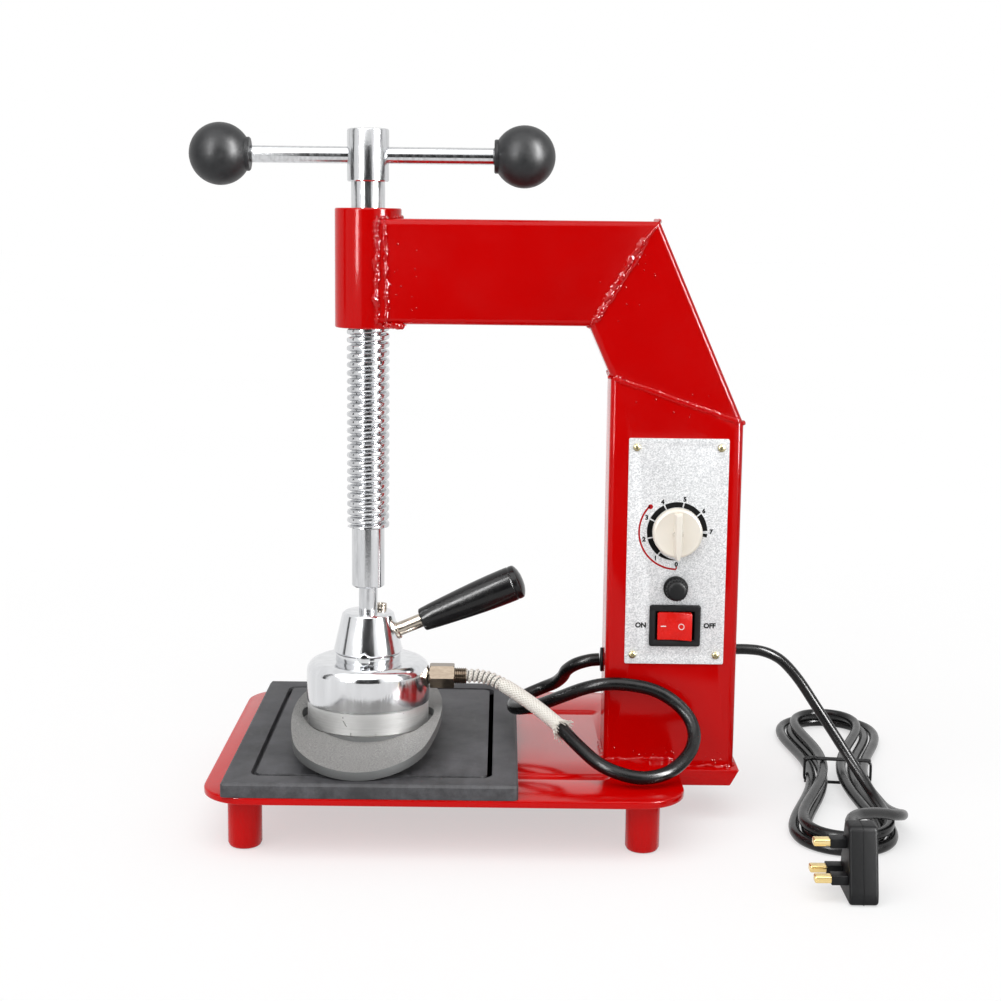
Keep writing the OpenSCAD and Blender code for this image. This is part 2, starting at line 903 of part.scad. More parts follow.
// Ball knob on an end of the tommy bar, with a short collar that faces the boss
module ball_knob(x, inward) {
    color("dimgray")
        at_press()
            translate([x, 0, bar_z])
                difference() {
                    union() {
                        sphere(d = ball_d);
                        rotate([0, 90 * inward, 0])
                            cylinder(d = ball_collar_d, h = ball_collar_end);
                    }
                    rotate([0, 90 * inward, 0])
                        translate([0, 0, -seat])
                            cylinder(d = bar_d + 2 * seat, h = ball_d);
                }
}

module ball_knob_left() {
    ball_knob(-bar_left, 1);
}

module ball_knob_right() {
    ball_knob(bar_right, -1);
}

// Frame of the grip: its root on the cone's side, Z along its axis
module at_grip() {
    translate([grip_root_x, 0, grip_root_z])
        rotate([0, 90 - grip_tilt, 0])
            children();
}

module head_cone() {
    edge = 1.2;
    color("silver")
        at_press()
            difference() {
                rotate_extrude()
                    polygon([[0, cup_top], [collar_d / 2, cup_top], [collar_d / 2, cone_bottom - 0.6],
                        [collar_d / 2 - 0.8, cone_bottom - 0.6], [collar_d / 2 - 0.8, cone_bottom],
                        [cone_d / 2 - 0.6, cone_bottom], [cone_d / 2, cone_bottom + 1],
                        [cone_top_d / 2 + 0.3, cone_top - edge], [cone_top_d / 2 - edge, cone_top],
                        [0, cone_top]]);
                translate([0, 0, pin_floor])
                    cylinder(d = pin_d + 2 * play, h = cone_top);
                translate([0, 0, cup_top - eps])
                    cylinder(d = head_stud_d + 2 * seat, h = pin_floor - 3 - cup_top + eps);
                at_grip()
                    translate([0, 0, -grip_sink])
                        cylinder(d = grip_shaft_d + 2 * seat, h = 3 * grip_sink);
                rotate(set_screw_turn)
                    translate([set_screw_r, 0, cone_top - 8])
                        cylinder(d = set_screw_d + 2 * seat, h = 9);
                rotate(clamp_turn)
                    translate([collar_d / 2 - 7, 0, clamp_z])
                        along_x()
                            cylinder(d = clamp_d + 2 * seat, h = 20);
            }
}

// Small hexagon screw through the front of the cone's collar
module cone_clamp_screw() {
    head_af = 7;
    head_l = 4;
    color("silver")
        at_press()
            rotate(clamp_turn)
                translate([0, 0, clamp_z])
                    along_x() {
                        translate([0, 0, collar_d / 2 - 6])
                            cylinder(d = clamp_d, h = 8);
                        translate([0, 0, cone_d / 2 + 0.2])
                            cylinder(d = head_af / cos(30), h = head_l, $fn = 6);
                    }
}

// Socket set screw standing in the cone's top
module pin_set_screw() {
    head_d = 7;
    head_h = 3;
    color("black")
        at_press()
            rotate(set_screw_turn)
                translate([set_screw_r, 0, 0])
                    difference() {
                        union() {
                            translate([0, 0, cone_top - 7])
                                cylinder(d = set_screw_d, h = 7 + eps);
                            translate([0, 0, cone_top])
                                cylinder(d = head_d, h = head_h);
                        }
                        translate([0, 0, cone_top + head_h - 2])
                            cylinder(d = 3.4, h = 3, $fn = 6);
                    }
}

module grip_stud() {
    stud_into_grip = 20;
    color("silver")
        at_press()
            at_grip()
                translate([0, 0, -grip_sink + 1])
                    cylinder(d = grip_shaft_d, h = grip_sink - 1 + grip_gap + stud_into_grip);
}

// Tapered plastic grip with a domed end
module head_grip() {
    big_at = 0.72;
    dome_r = (grip_big_d ^ 2 / 4 + grip_dome ^ 2) / (2 * grip_dome);
    color("dimgray")
        at_press()
            at_grip()
                translate([0, 0, grip_gap])
                    difference() {
                        union() {
                            cylinder(d1 = grip_small_d, d2 = grip_big_d, h = grip_l * big_at);
                            translate([0, 0, grip_l * big_at])
                                cylinder(d = grip_big_d, h = grip_l * (1 - big_at));
                            intersection() {
                                translate([0, 0, grip_l + grip_dome - dome_r])
                                    sphere(dome_r);
                                translate([0, 0, grip_l / 2])
                                    cylinder(d = grip_small_d + 7, h = grip_l);
                            }
                        }
                        translate([0, 0, -eps])
                            cylinder(d = grip_shaft_d + 2 * seat, h = 22 + eps);
                    }
}

// Stud that ties the cone, the cup and the block together
module head_stud() {
    color("silver")
        at_press()
            translate([0, 0, head_stud_bottom])
                cylinder(d = head_stud_d, h = pin_floor - 4 - head_stud_bottom);
}

// Chromed cup with a rolled shoulder, open below
module heater_cup() {
    shoulder = 7;
    r = cup_d / 2;
    color("silver")
        at_press()
            difference() {
                rotate_extrude()
                    difference() {
                        union() {
                            translate([0, cup_bottom])
                                square([r, cup_h - shoulder]);
                            translate([0, cup_bottom])
                                square([r - shoulder, cup_h]);
                            intersection() {
                                translate([r - shoulder, cup_top - shoulder])
                                    circle(shoulder);
                                square([r, cup_top]);
                            }
                        }
                        translate([-eps, cup_bottom - eps])
                            square([r - cup_wall + eps, cup_h - shoulder + eps]);
                        translate([-eps, cup_bottom - eps])
                            square([r - shoulder + eps, cup_h - cup_wall + eps]);
                    }
                translate([0, 0, cup_top - 2 * cup_wall])
                    cylinder(d = head_stud_d + 2 * seat, h = 3 * cup_wall);
                translate([gland_start - 3 * cup_wall, 0, gland_z])
                    along_x()
                        cylinder(d = nipple_d + 2 * seat, h = 6 * cup_wall);
            }
}

// Aluminium heating block with a spigot inside the cup
module heater_block() {
    color("silver")
        at_press()
            difference() {
                union() {
                    translate([0, 0, block_bottom])
                        cylinder(d = block_d, h = block_h);
                    translate([0, 0, cup_bottom - eps])
                        cylinder(d = cup_d - 2 * cup_wall - 1, h = spigot_h + eps);
                }
                translate([0, 0, head_stud_bottom - 1])
                    cylinder(d = head_stud_d + 2 * seat, h = cup_h);
                arc_screw_places()
                    translate([0, 0, block_bottom - eps])
                        cylinder(d = arc_screw_d + 2 * seat, h = arc_screw_bite + eps);
            }
}

// Ring-shaped heating element on the block
module heater_element() {
    color("tan")
        at_press()
            translate([0, 0, cup_bottom + spigot_h])
                difference() {
                    cylinder(d = element_d, h = element_t);
                    translate([0, 0, -eps])
                        cylinder(d = element_bore_d, h = element_t + 2 * eps);
                }
}

// Snap-disc thermostat on the block beside the stud
module thermostat() {
    color("black")
        at_press()
            translate([thermostat_x, 0, cup_bottom + spigot_h]) {
                cylinder(d = thermostat_d, h = thermostat_h);
                translate([0, 0, thermostat_h])
                    cylinder(d = thermostat_cap_d, h = thermostat_h - 1);
            }
}

module arc_screw_places() {
    for (y = [-1, 1])
        translate([0, y * arc_screw_y, 0])
            children();
}

// Outline of the curved plate: two round ends joined by two broad arcs
module arc_outline() {
    end_r = 40;
    end_y = arc_l / 2 - end_r;
    side_r = (end_y ^ 2 + (arc_w / 2) ^ 2 - end_r ^ 2) / (2 * (arc_w / 2 - end_r));
    side_x = side_r - arc_w / 2;
    join_y = end_y * side_r / (side_r - end_r);
    for (y = [-1, 1])
        translate([0, y * end_y])
            circle(end_r);
    intersection() {
        translate([-side_x, 0])
            circle(side_r);
        translate([side_x, 0])
            circle(side_r);
        square([arc_w, 2 * join_y], center = true);
    }
}

// Cast plate, curved like a tyre, with a machined pocket for the block
module arc_plate() {
    pocket_d = block_d + 7;
    color("gray")
        at_press()
            difference() {
                intersection() {
                    translate([0, 0, arc_bottom - eps])
                        linear_extrude(arc_w)
                            arc_outline();
                    translate([0, 0, arc_centre_z])
                        to_front()
                            cylinder(r = arc_r, h = 2 * arc_l, center = true);
                    union() {
                        translate([0, 0, arc_bottom - eps])
                            cylinder(d = block_d, h = arc_seat - arc_bottom + eps);
                        difference() {
                            translate([-arc_w, -arc_l, arc_bottom - eps])
                                cube([2 * arc_w, 2 * arc_l, arc_w / 2]);
                            translate([0, 0, arc_centre_z])
                                to_front()
                                    cylinder(r = arc_r - arc_t, h = 3 * arc_l, center = true);
                        }
                    }
                }
                translate([0, 0, arc_seat])
                    cylinder(d = pocket_d, h = arc_w);
                arc_screw_places()
                    translate([0, 0, arc_bottom]) {
                        translate([0, 0, -1])
                            cylinder(d = arc_screw_d + 2 * seat, h = arc_w);
                        cylinder(d1 = arc_screw_head_d + 2 * seat, d2 = arc_screw_d + 2 * seat,
                            h = arc_screw_head_h);
                        translate([0, 0, -1])
                            cylinder(d = arc_screw_head_d + 2 * seat, h = 1 + seat);
                    }
            }
}

// Two countersunk screws that hold the curved plate to the block
module arc_plate_screws() {
    head_sink = 0.2;
    color("silver")
        at_press()
            arc_screw_places()
                translate([0, 0, arc_bottom + head_sink]) {
                    cylinder(d1 = arc_screw_head_d - 2 * head_sink, d2 = arc_screw_d,
                        h = arc_screw_head_h - head_sink);
                    cylinder(d = arc_screw_d, h = arc_seat - arc_bottom + arc_screw_bite - 1);
                }
}

// Cable gland on the cup's side: hexagon body, then a threaded nipple
module lead_gland() {
    color("silver")
        at_press()
            translate([gland_start, 0, gland_z])
                along_x()
                    union() {
                        translate([0, 0, -cup_wall - 2])
                            cylinder(d = nipple_d, h = cup_wall + 2 + eps);
                        translate([0, 0, 0.4])
                            rotate(30)
                                cylinder(d = gland_af / cos(30), h = gland_hex_l - 0.4, $fn = 6);
                        translate([0, 0, gland_hex_l - eps])
                            cylinder(d = nipple_d, h = nipple_l + eps);
                    }
}

module heater_sleeve() {
    color("whitesmoke")
        at_press()
            sweep(lead_route, sleeve_d, lead_sides, 0, sleeve_last);
}

module heater_lead() {
    color("black")
        at_press()
            sweep(lead_route, lead_d, lead_sides, sleeve_last, len(lead_route) - 1);
}

module mains_lead() {
    color("black")
        at_press() {
            sweep(mains_route, cord_d, lead_sides, 0, len(mains_route) - 1);
            sweep(tail_route, cord_d, lead_sides, 0, len(tail_route) - 1);
        }
}

// Hank of the mains lead, one unbroken tube
module mains_hank() {
    color("black")
        at_press()
            sweep(hank_route, cord_d, hank_sides, 0, len(hank_route) - 1);
}

echo(hank_gap = least_gap(hank_route, cord_d, 8));

// Twist tie round the hank's waist
module hank_tie() {
    room = 0.4;
    left = -hank_waist - hank_step * hank_rank(floor(hank_last)) - cord_d / 2 - room;
    right = hank_waist + hank_step * hank_rank(floor(hank_last - 0.5) + 0.5) + cord_d / 2 + room;
    inner = [right - left, hank_layer + cord_d + 2 * room];
    color("black")
        at_press()
            translate([hank_centre.x, hank_centre.y, floor_z + tie_lift - cord_d / 2 - room + inner.y / 2])
                rotate([90, 0, hank_turn])
                    translate([(left + right) / 2, 0, -tie_w / 2])
                        linear_extrude(tie_w)
                            difference() {
                                round_rect(inner.x + 2 * tie_t, inner.y + 2 * tie_t, 4);
                                round_rect(inner.x, inner.y, 3);
                            }
}

// Three-pin plug standing on its foot, narrower to its top, the cord entering behind
module plug_body() {
    edge = 3;
    foot = plug_w / 2;
    top = plug_top_w / 2;
    pocket = [8, 6];
    color("black")
        at_press()
            translate([plug_x, plug_y, 0])
                difference() {
                    union() {
                        translate([-plug_t / 2, 0, 0])
                            along_x()
                                linear_extrude(plug_t)
                                    polygon([[0, edge - foot], [0, foot - edge], [-edge, foot],
                                        [-2 * edge, foot], [edge - plug_h, top], [-plug_h, top - edge],
                                        [-plug_h, edge - top], [edge - plug_h, -top], [-2 * edge, -foot],
                                        [-edge, -foot]]);
                        translate([0, 0, plug_entry.z])
                            rotate([-90, 0, 0])
                                cylinder(h = plug_relief[1].x, r1 = plug_relief[0].y, r2 = plug_relief[1].y);
                    }
                    plug_pin_places()
                        along_x()
                            cylinder(d = pocket.x, h = pocket.y, center = true);
                }
}

// Roots of the pins on the plug's face: earth on top, live and neutral below
module plug_pin_places() {
    for (p = [[0, plug_earth_z], [-plug_pin_y, plug_pin_z], [plug_pin_y, plug_pin_z]])
        translate([-plug_t / 2, p[0], p[1]])
            children();
}

module plug_pins() {
    root = 2;
    color("gold")
        at_press()
            translate([plug_x, plug_y, 0])
                plug_pin_places()
                    translate([-plug_pin_out, -plug_pin.x / 2, -plug_pin.y / 2])
                        cube([plug_pin_out + root, plug_pin.x, plug_pin.y]);
}

module plug_pin_sleeves() {
    fit = 0.1;
    wall = 0.5;
    bore = [plug_pin.x + 2 * fit, plug_pin.y + 2 * fit];
    outer = [bore.x + 2 * wall, bore.y + 2 * wall];
    color("black")
        at_press()
            translate([plug_x, plug_y, 0])
                plug_pin_places()
                    difference() {
                        translate([-plug_sleeve_l, -outer.x / 2, -outer.y / 2])
                            cube([plug_sleeve_l, outer.x, outer.y]);
                        translate([-plug_sleeve_l - eps, -bore.x / 2, -bore.y / 2])
                            cube([plug_sleeve_l + 2 * eps, bore.x, bore.y]);
                    }
}

base_plate();
foot_front_left();
foot_front_right();
foot_rear_left();
foot_rear_right();
rubber_pad();
column_foot_bar();
column_tube();
brace_tube();
arm_tube();
nut_tube();
panel_plate();
panel_screws();
timer_body();
timer_shaft();
timer_knob();
fuse_holder();
fuse_nut();
fuse_link();
fuse_cap();
switch_body();
switch_rocker();
terminal_block();
lead_grommet();
mains_grommet();
thrust_washer();
press_screw();
handle_bar();
ball_knob_left();
ball_knob_right();
head_cone();
cone_clamp_screw();
pin_set_screw();
grip_stud();
head_grip();
head_stud();
heater_cup();
heater_block();
heater_element();
thermostat();
arc_plate();
arc_plate_screws();
lead_gland();
heater_sleeve();
heater_lead();
mains_lead();
mains_hank();
hank_tie();
plug_body();
plug_pins();
plug_pin_sleeves();
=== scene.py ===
"""Bench-top tyre vulcanizer: finishes, welds, thread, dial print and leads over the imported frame."""

import json
import math
import random

import bpy
from mathutils import Matrix, Vector, noise


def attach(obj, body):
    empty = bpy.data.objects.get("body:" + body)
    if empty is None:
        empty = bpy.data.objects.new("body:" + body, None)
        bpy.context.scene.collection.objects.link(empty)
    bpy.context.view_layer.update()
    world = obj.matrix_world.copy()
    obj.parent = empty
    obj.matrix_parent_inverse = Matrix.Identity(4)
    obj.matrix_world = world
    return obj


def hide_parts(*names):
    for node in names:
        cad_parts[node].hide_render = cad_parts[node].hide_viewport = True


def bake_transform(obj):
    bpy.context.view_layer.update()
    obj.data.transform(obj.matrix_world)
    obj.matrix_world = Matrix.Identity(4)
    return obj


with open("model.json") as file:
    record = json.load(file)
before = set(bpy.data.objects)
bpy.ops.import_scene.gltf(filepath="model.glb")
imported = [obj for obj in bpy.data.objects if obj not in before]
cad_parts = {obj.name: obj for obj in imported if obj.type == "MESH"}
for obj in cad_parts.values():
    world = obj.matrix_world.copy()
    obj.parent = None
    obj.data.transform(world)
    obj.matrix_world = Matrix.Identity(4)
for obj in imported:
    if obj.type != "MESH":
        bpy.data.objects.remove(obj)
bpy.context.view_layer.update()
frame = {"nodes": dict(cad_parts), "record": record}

# Light levels
FLOOR_GLOW = 0.55
ROOM_LEVEL = 0.55
OVERHEAD = 1.95
STRIP_RIGHT = 75
STRIP_LEFT = 34

# Pieces are modelled in millimetres from the foot of the screw's axis, then set into the row frame
MM = 0.001
PRESS = Vector((-61.25, -16.0, 0.0))
TO_ROW = Matrix.Scale(MM, 4) @ Matrix.Translation(PRESS)

# Levels and sizes shared by several pieces, as in the part's source
PLATE_TOP = 36.5
PAD_TOP = 45.0
ARM_BOTTOM = 301.0
ARM_TOP = 363.0
TUBE_FRONT = -20.0
TUBE_BACK = 20.0
COLUMN_LEFT = 146.0
COLUMN_RIGHT = 226.0
PANEL_FACE = -21.5
PANEL_X = 187.5
DIAL_Z = 178.5
FUSE_Z = 144.0
SWITCH_Z = 121.0
BAR_Z = 400.0
GLAND_Z = 82.5
GLAND_END = 61.1

# Braided sleeve: its yarns, and the ribs that it stands in near the gland
SLEEVE_D = 9.2
YARN_STEP = 1.571
YARN_SLANT = math.radians(35)
SLEEVE_TOP_R = SLEEVE_D / 2 - 0.1
RIBBED_L = 22.0
RIB_STEP = 3.3
RIB_DEPTH = 1.2


def row(point):
    """A point of the press, in millimetres, in the row frame."""
    return TO_ROW @ Vector(point)


# Camera

PHOTO_SIDE = 1001
FOCAL_PIXELS = 1800
CAMERA_AT = (81, -1089, 364)
CAMERA_PITCH = 8.92
CAMERA_ROLL = 0.65
SENSOR_W = 36


def deselect():
    """Leaves nothing selected."""
    bpy.ops.object.select_all(action="DESELECT")


deselect()
bpy.ops.object.camera_add(location=row(CAMERA_AT))
camera = bpy.context.object
camera.name = "photo_camera"
camera.data.sensor_width = SENSOR_W
camera.data.lens = FOCAL_PIXELS / PHOTO_SIDE * SENSOR_W
camera.data.clip_end = 50
camera.rotation_euler = (
    Matrix.Rotation(math.radians(90 - CAMERA_PITCH), 3, "X")
    @ Matrix.Rotation(math.radians(CAMERA_ROLL), 3, "Z")
).to_euler()
bpy.context.scene.camera = camera


# Finishes


def linear(code):
    """An sRGB hex colour as linear red, green and blue, with full alpha."""
    parts = [int(code[i : i + 2], 16) / 255 for i in (1, 3, 5)]
    return [
        p / 12.92 if p <= 0.04045 else ((p + 0.055) / 1.055) ** 2.4 for p in parts
    ] + [1.0]


def per_mm(size):
    """The texture scale whose features are about that many millimetres across."""
    return 1 / (size * MM)


def add(tree, kind, sets=(), sockets=(), links=()):
    """Adds a node with its settings, socket values and links."""
    made = tree.nodes.new("ShaderNode" + kind)
    for name, value in dict(sets).items():
        setattr(made, name, value)
    for name, value in dict(sockets).items():
        made.inputs[name].default_value = value
    for name, source in dict(links).items():
        tree.links.new(source, made.inputs[name])
    return made


def new_finish(name, **sockets):
    """A material with its shader's constant values, and the place that its patterns read."""
    material = bpy.data.materials.new(name)
    material.use_nodes = True
    tree = material.node_tree
    shader = tree.nodes["Principled BSDF"]
    for key, value in sockets.items():
        shader.inputs[key.replace("_", " ")].default_value = value
    place = add(tree, "TexCoord").outputs["Object"]
    return material, tree, shader, place


def grain(size, detail=3.0, stretch=(1, 1, 1), rough=0.5):
    """A pattern of spots of that size in millimetres, drawn out along an axis by a small stretch."""
    return (size, detail, stretch, rough)


def patterned(name, tones, cloud, polish=None, bumps=None, worn=None, reach=None, **sockets):
    """A material whose colour, roughness and relief follow fine patterns on the piece.

    The colour runs from dark to light with the cloud, or with cloud times worn, over its reach.
    Polish is a pattern and two roughnesses. Bumps are a pattern, a depth in millimetres and a strength.
    """
    material, tree, shader, place = new_finish(name, **sockets)
    patterns = {}
    for pattern in filter(None, (cloud, worn, polish and polish[0], bumps and bumps[0])):
        size, detail, stretch, rough = pattern
        mapped = add(tree, "Mapping", {}, {"Scale": stretch}, {"Vector": place})
        values = {"Scale": per_mm(size), "Detail": detail, "Roughness": rough}
        spots = add(tree, "TexNoise", {}, values, {"Vector": mapped.outputs["Vector"]})
        patterns[pattern] = spots.outputs["Fac"]
    share = patterns[cloud]
    if worn:
        both = add(tree, "Math", {"operation": "MULTIPLY"}, {}, {0: share, 1: patterns[worn]})
        share = both.outputs[0]
    if reach:
        values = {"From Min": reach[0], "From Max": reach[1]}
        share = add(tree, "MapRange", {}, values, {"Value": share}).outputs["Result"]
    values = {6: linear(tones[0]), 7: linear(tones[1])}
    colour = add(tree, "Mix", {"data_type": "RGBA"}, values, {0: share})
    tree.links.new(colour.outputs[2], shader.inputs["Base Color"])
    if polish:
        values = {"From Min": 0.3, "From Max": 0.7, "To Min": polish[1], "To Max": polish[2]}
        gloss = add(tree, "MapRange", {}, values, {"Value": patterns[polish[0]]})
        tree.links.new(gloss.outputs["Result"], shader.inputs["Roughness"])
    if bumps:
        values = {"Distance": bumps[1] * MM, "Strength": bumps[2]}
        relief = add(tree, "Bump", {}, values, {"Height": patterns[bumps[0]]})
        tree.links.new(relief.outputs["Normal"], shader.inputs["Normal"])
    return material


def overlaid(material, colour, share):
    """Lays a second colour over a finish where the share, a node's output, is high."""
    tree = material.node_tree
    base = tree.nodes["Principled BSDF"].inputs["Base Color"]
    under = base.links[0].from_socket
    over = add(tree, "Mix", {"data_type": "RGBA"}, {7: linear(colour)}, {0: share, 6: under})
    tree.links.new(over.outputs[2], base)
    return material


def falling(low, high, most=1.0):
    """Socket values of a range that falls from its most to nought between low and high."""
    return {"From Min": low, "From Max": high, "To Min": most, "To Max": 0.0}


def stoved_enamel():
    # Gloss enamel stoved on steel: even deep red, faint orange peel, soft highlights on its edges
    return patterned(
        "stoved_red_enamel",
        ("#b90000", "#c90101"),
        grain(70, 2),
        polish=(grain(25, 4), 0.1, 0.18),
        bumps=(grain(1.8, 2), 0.05, 0.5),
        Specular_IOR_Level=0.14,
        Coat_Weight=0.04,
        Coat_Roughness=0.06,
    )


def pooled_enamel():
    # Enamel pooled thick over the welds: the same red, wetter, with white glints on every lump
    return patterned(
        "pooled_red_enamel",
        ("#b00000", "#c60101"),
        grain(9),
        polish=(grain(3, 4), 0.05, 0.12),
        bumps=(grain(2, 2), 0.15, 0.4),
        Specular_IOR_Level=0.3,
        Coat_Weight=0.12,
    )


def bright_chrome():
    # Polished chrome plate: mirror with a faint grey cast and fine handling marks
    smear = grain(5, 5, (1, 1, 0.12))
    return patterned(
        "polished_chrome_plate",
        ("#c9cacc", "#e8e9eb"),
        smear,
        polish=(smear, 0.1, 0.2),
        bumps=(grain(6, 2), 0.03, 0.08),
        Metallic=1.0,
    )


def rolled_chrome():
    # Chrome over a rolled bar: brighter bands and pitted streaks along its length
    streak = grain(2, 4, (1, 1, 0.12))
    return patterned(
        "rolled_chrome_plate",
        ("#a9aaac", "#e6e7e9"),
        streak,
        polish=(streak, 0.24, 0.1),
        bumps=(grain(1.4), 0.04, 0.4),
        Metallic=1.0,
    )


def dull_nickel(name, dark, light):
    # Barrel-plated nickel: warm brownish grey, half bright, fine lines round the turned pieces
    lines = grain(0.9, 3, (0.25, 1, 1))
    return patterned(
        name,
        (dark, light),
        lines,
        polish=(lines, 0.16, 0.26),
        bumps=(lines, 0.012, 0.3),
        Metallic=1.0,
    )


def cast_alloy():
    # Sand-cast aluminium: even grey grain, with painted shade that darkens the side faces round the rim
    # and leaves the top faces pale
    skin = grain(0.8, 5, rough=0.7)
    material = patterned(
        "sand_cast_aluminium",
        ("#626262", "#8d8c89"),
        skin,
        reach=(0.36, 0.66),
        polish=(skin, 0.75, 0.55),
        bumps=(skin, 0.16, 0.6),
        Metallic=0.3,
        Specular_IOR_Level=0.25,
    )
    tree = material.node_tree
    facing = add(tree, "TexCoord").outputs["Normal"]
    upright = add(tree, "SeparateXYZ", {}, {}, {"Vector": facing}).outputs["Z"]
    # Painted shade: faces that turn away from straight up are darkened towards #5a5b5b by their facing
    # alone
    painted_side_shade = add(tree, "MapRange", {}, falling(0.25, 0.6), {"Value": upright})
    return overlaid(material, "#5a5b5b", painted_side_shade.outputs["Result"])


def turned_alloy():
    # Aluminium block straight from the lathe: pale satin, fine rings, sparse dark pits
    rings = grain(9, 4, (0.12, 0.12, 8))
    material = patterned(
        "turned_aluminium",
        ("#adadac", "#dadad9"),
        rings,
        polish=(rings, 0.44, 0.3),
        bumps=(rings, 0.04, 0.4),
        Metallic=0.65,
    )
    tree = material.node_tree
    place = add(tree, "TexCoord").outputs["Object"]
    cells = add(tree, "TexVoronoi", {}, {"Scale": per_mm(5.5)}, {"Vector": place})
    pits = add(tree, "MapRange", {}, falling(0.05, 0.1, 0.8), {"Value": cells.outputs["Distance"]})
    return overlaid(material, "#2b2b2a", pits.outputs["Result"])


def pad_rubber():
    # Moulded black rubber gone grey with chalk and handling: dull, blotched, lightly scuffed
    scuff = grain(7, 6, (1, 0.35, 1), 0.7)
    return patterned(
        "moulded_pad_rubber",
        ("#27272a", "#4c4c50"),
        grain(38, 5, rough=0.6),
        worn=scuff,
        reach=(0.16, 0.38),
        polish=(scuff, 0.5, 0.72),
        bumps=(grain(1, 4), 0.06, 0.4),
        Specular_IOR_Level=0.35,
    )


def phenolic():
    # Moulded black phenolic: charcoal, half matt, a little grey dust in its skin
    dust = grain(5, 5, rough=0.65)
    return patterned(
        "moulded_phenolic",
        ("#17181a", "#2b2c2e"),
        dust,
        polish=(dust, 0.34, 0.5),
        bumps=(grain(0.8), 0.03, 0.5),
        Specular_IOR_Level=0.3,
    )


def gloss_phenolic():
    # Polished black phenolic grip: near black, crisp streaks of light, faint rub marks
    rubs = grain(4, 4, rough=0.6)
    return patterned(
        "polished_phenolic",
        ("#0d0d0e", "#1b1b1c"),
        rubs,
        polish=(rubs, 0.16, 0.27),
        bumps=(grain(2, 2), 0.03, 0.2),
        Specular_IOR_Level=0.3,
    )


def black_moulding():
    # Black nylon moulding with a spark-eroded grain
    sparks = grain(0.7)
    return patterned(
        "grained_black_nylon",
        ("#0c0c0d", "#161719"),
        grain(9),
        polish=(sparks, 0.38, 0.55),
        bumps=(sparks, 0.06, 0.6),
        Specular_IOR_Level=0.17,
    )


def ivory_moulding():
    # Ivory urea moulding: warm white, smooth, a touch of depth
    return patterned(
        "ivory_urea",
        ("#e5dfd3", "#ede7dc"),
        grain(11),
        polish=(grain(4), 0.3, 0.42),
        Subsurface_Weight=0.12,
        Subsurface_Radius=(0.003, 0.0025, 0.002),
    )


def red_moulding():
    # Red polycarbonate rocker: bright, smooth and solid in colour
    return patterned(
        "red_polycarbonate",
        ("#cf0a04", "#ee1c10"),
        grain(8),
        polish=(grain(3, 2), 0.22, 0.32),
        Specular_IOR_Level=0.2,
    )


def white_moulding():
    # White nylon terminal strip: off-white, half matt
    return patterned(
        "white_nylon", ("#dcdad2", "#efeee9"), grain(6), polish=(grain(2, 2), 0.42, 0.55)
    )


def sparkle_panel():
    # Sparkle-faced aluminium label: pale grey with bright and dark flecks, drawn coarse to show
    material, tree, shader, place = new_finish(
        "sparkle_aluminium", Metallic=0.1, Specular_IOR_Level=0.2
    )
    cells = add(tree, "TexVoronoi", {}, {"Scale": per_mm(0.6)}, {"Vector": place})
    fleck = add(tree, "SeparateColor", {}, {}, {"Color": cells.outputs["Color"]})
    tones = {6: linear("#bbbdbf"), 7: linear("#ecedee")}
    colour = add(tree, "Mix", {"data_type": "RGBA"}, tones, {0: fleck.outputs[0]})
    tree.links.new(colour.outputs[2], shader.inputs["Base Color"])
    gloss = add(tree, "MapRange", {}, {"To Min": 0.5, "To Max": 0.7}, {"Value": fleck.outputs[1]})
    tree.links.new(gloss.outputs["Result"], shader.inputs["Roughness"])
    return material


def zinc_steel():
    # Zinc on steel fasteners, passivated straw yellow, half bright
    tone = grain(1.6, 4)
    return patterned(
        "zinc_plated_steel", ("#7d7456", "#bdb48f"), tone, polish=(tone, 0.24, 0.4), Metallic=1.0
    )


def black_steel():
    # Oil-blacked steel: near black, oily sheen
    tone = grain(2, 4)
    return patterned(
        "oil_blacked_steel", ("#1c1c1e", "#3b3a3a"), tone, polish=(tone, 0.3, 0.5), Metallic=0.8
    )


def bearing_bronze():
    # Turned bearing bronze with a film of oil: brown gold, half bright
    tone = grain(3, 4)
    return patterned(
        "bearing_bronze", ("#7b5a33", "#b28a55"), tone, polish=(tone, 0.22, 0.4), Metallic=1.0
    )


def drawn_brass():
    # Drawn brass plug pins: yellow, half bright, drawn lines along the pin
    lines = grain(3, 4, (0.15, 2, 2))
    return patterned(
        "drawn_brass",
        ("#dcb564", "#fbeab4"),
        lines,
        polish=(lines, 0.2, 0.34),
        bumps=(lines, 0.02, 0.4),
        Metallic=1.0,
    )


def cord_sheath():
    # Extruded PVC sheath: black, soft gloss, dusty streaks
    dust = grain(8, 5, rough=0.6)
    return patterned(
        "extruded_pvc_sheath",
        ("#080809", "#111112"),
        dust,
        polish=(dust, 0.2, 0.32),
        bumps=(grain(3), 0.05, 0.3),
        Specular_IOR_Level=0.28,
    )


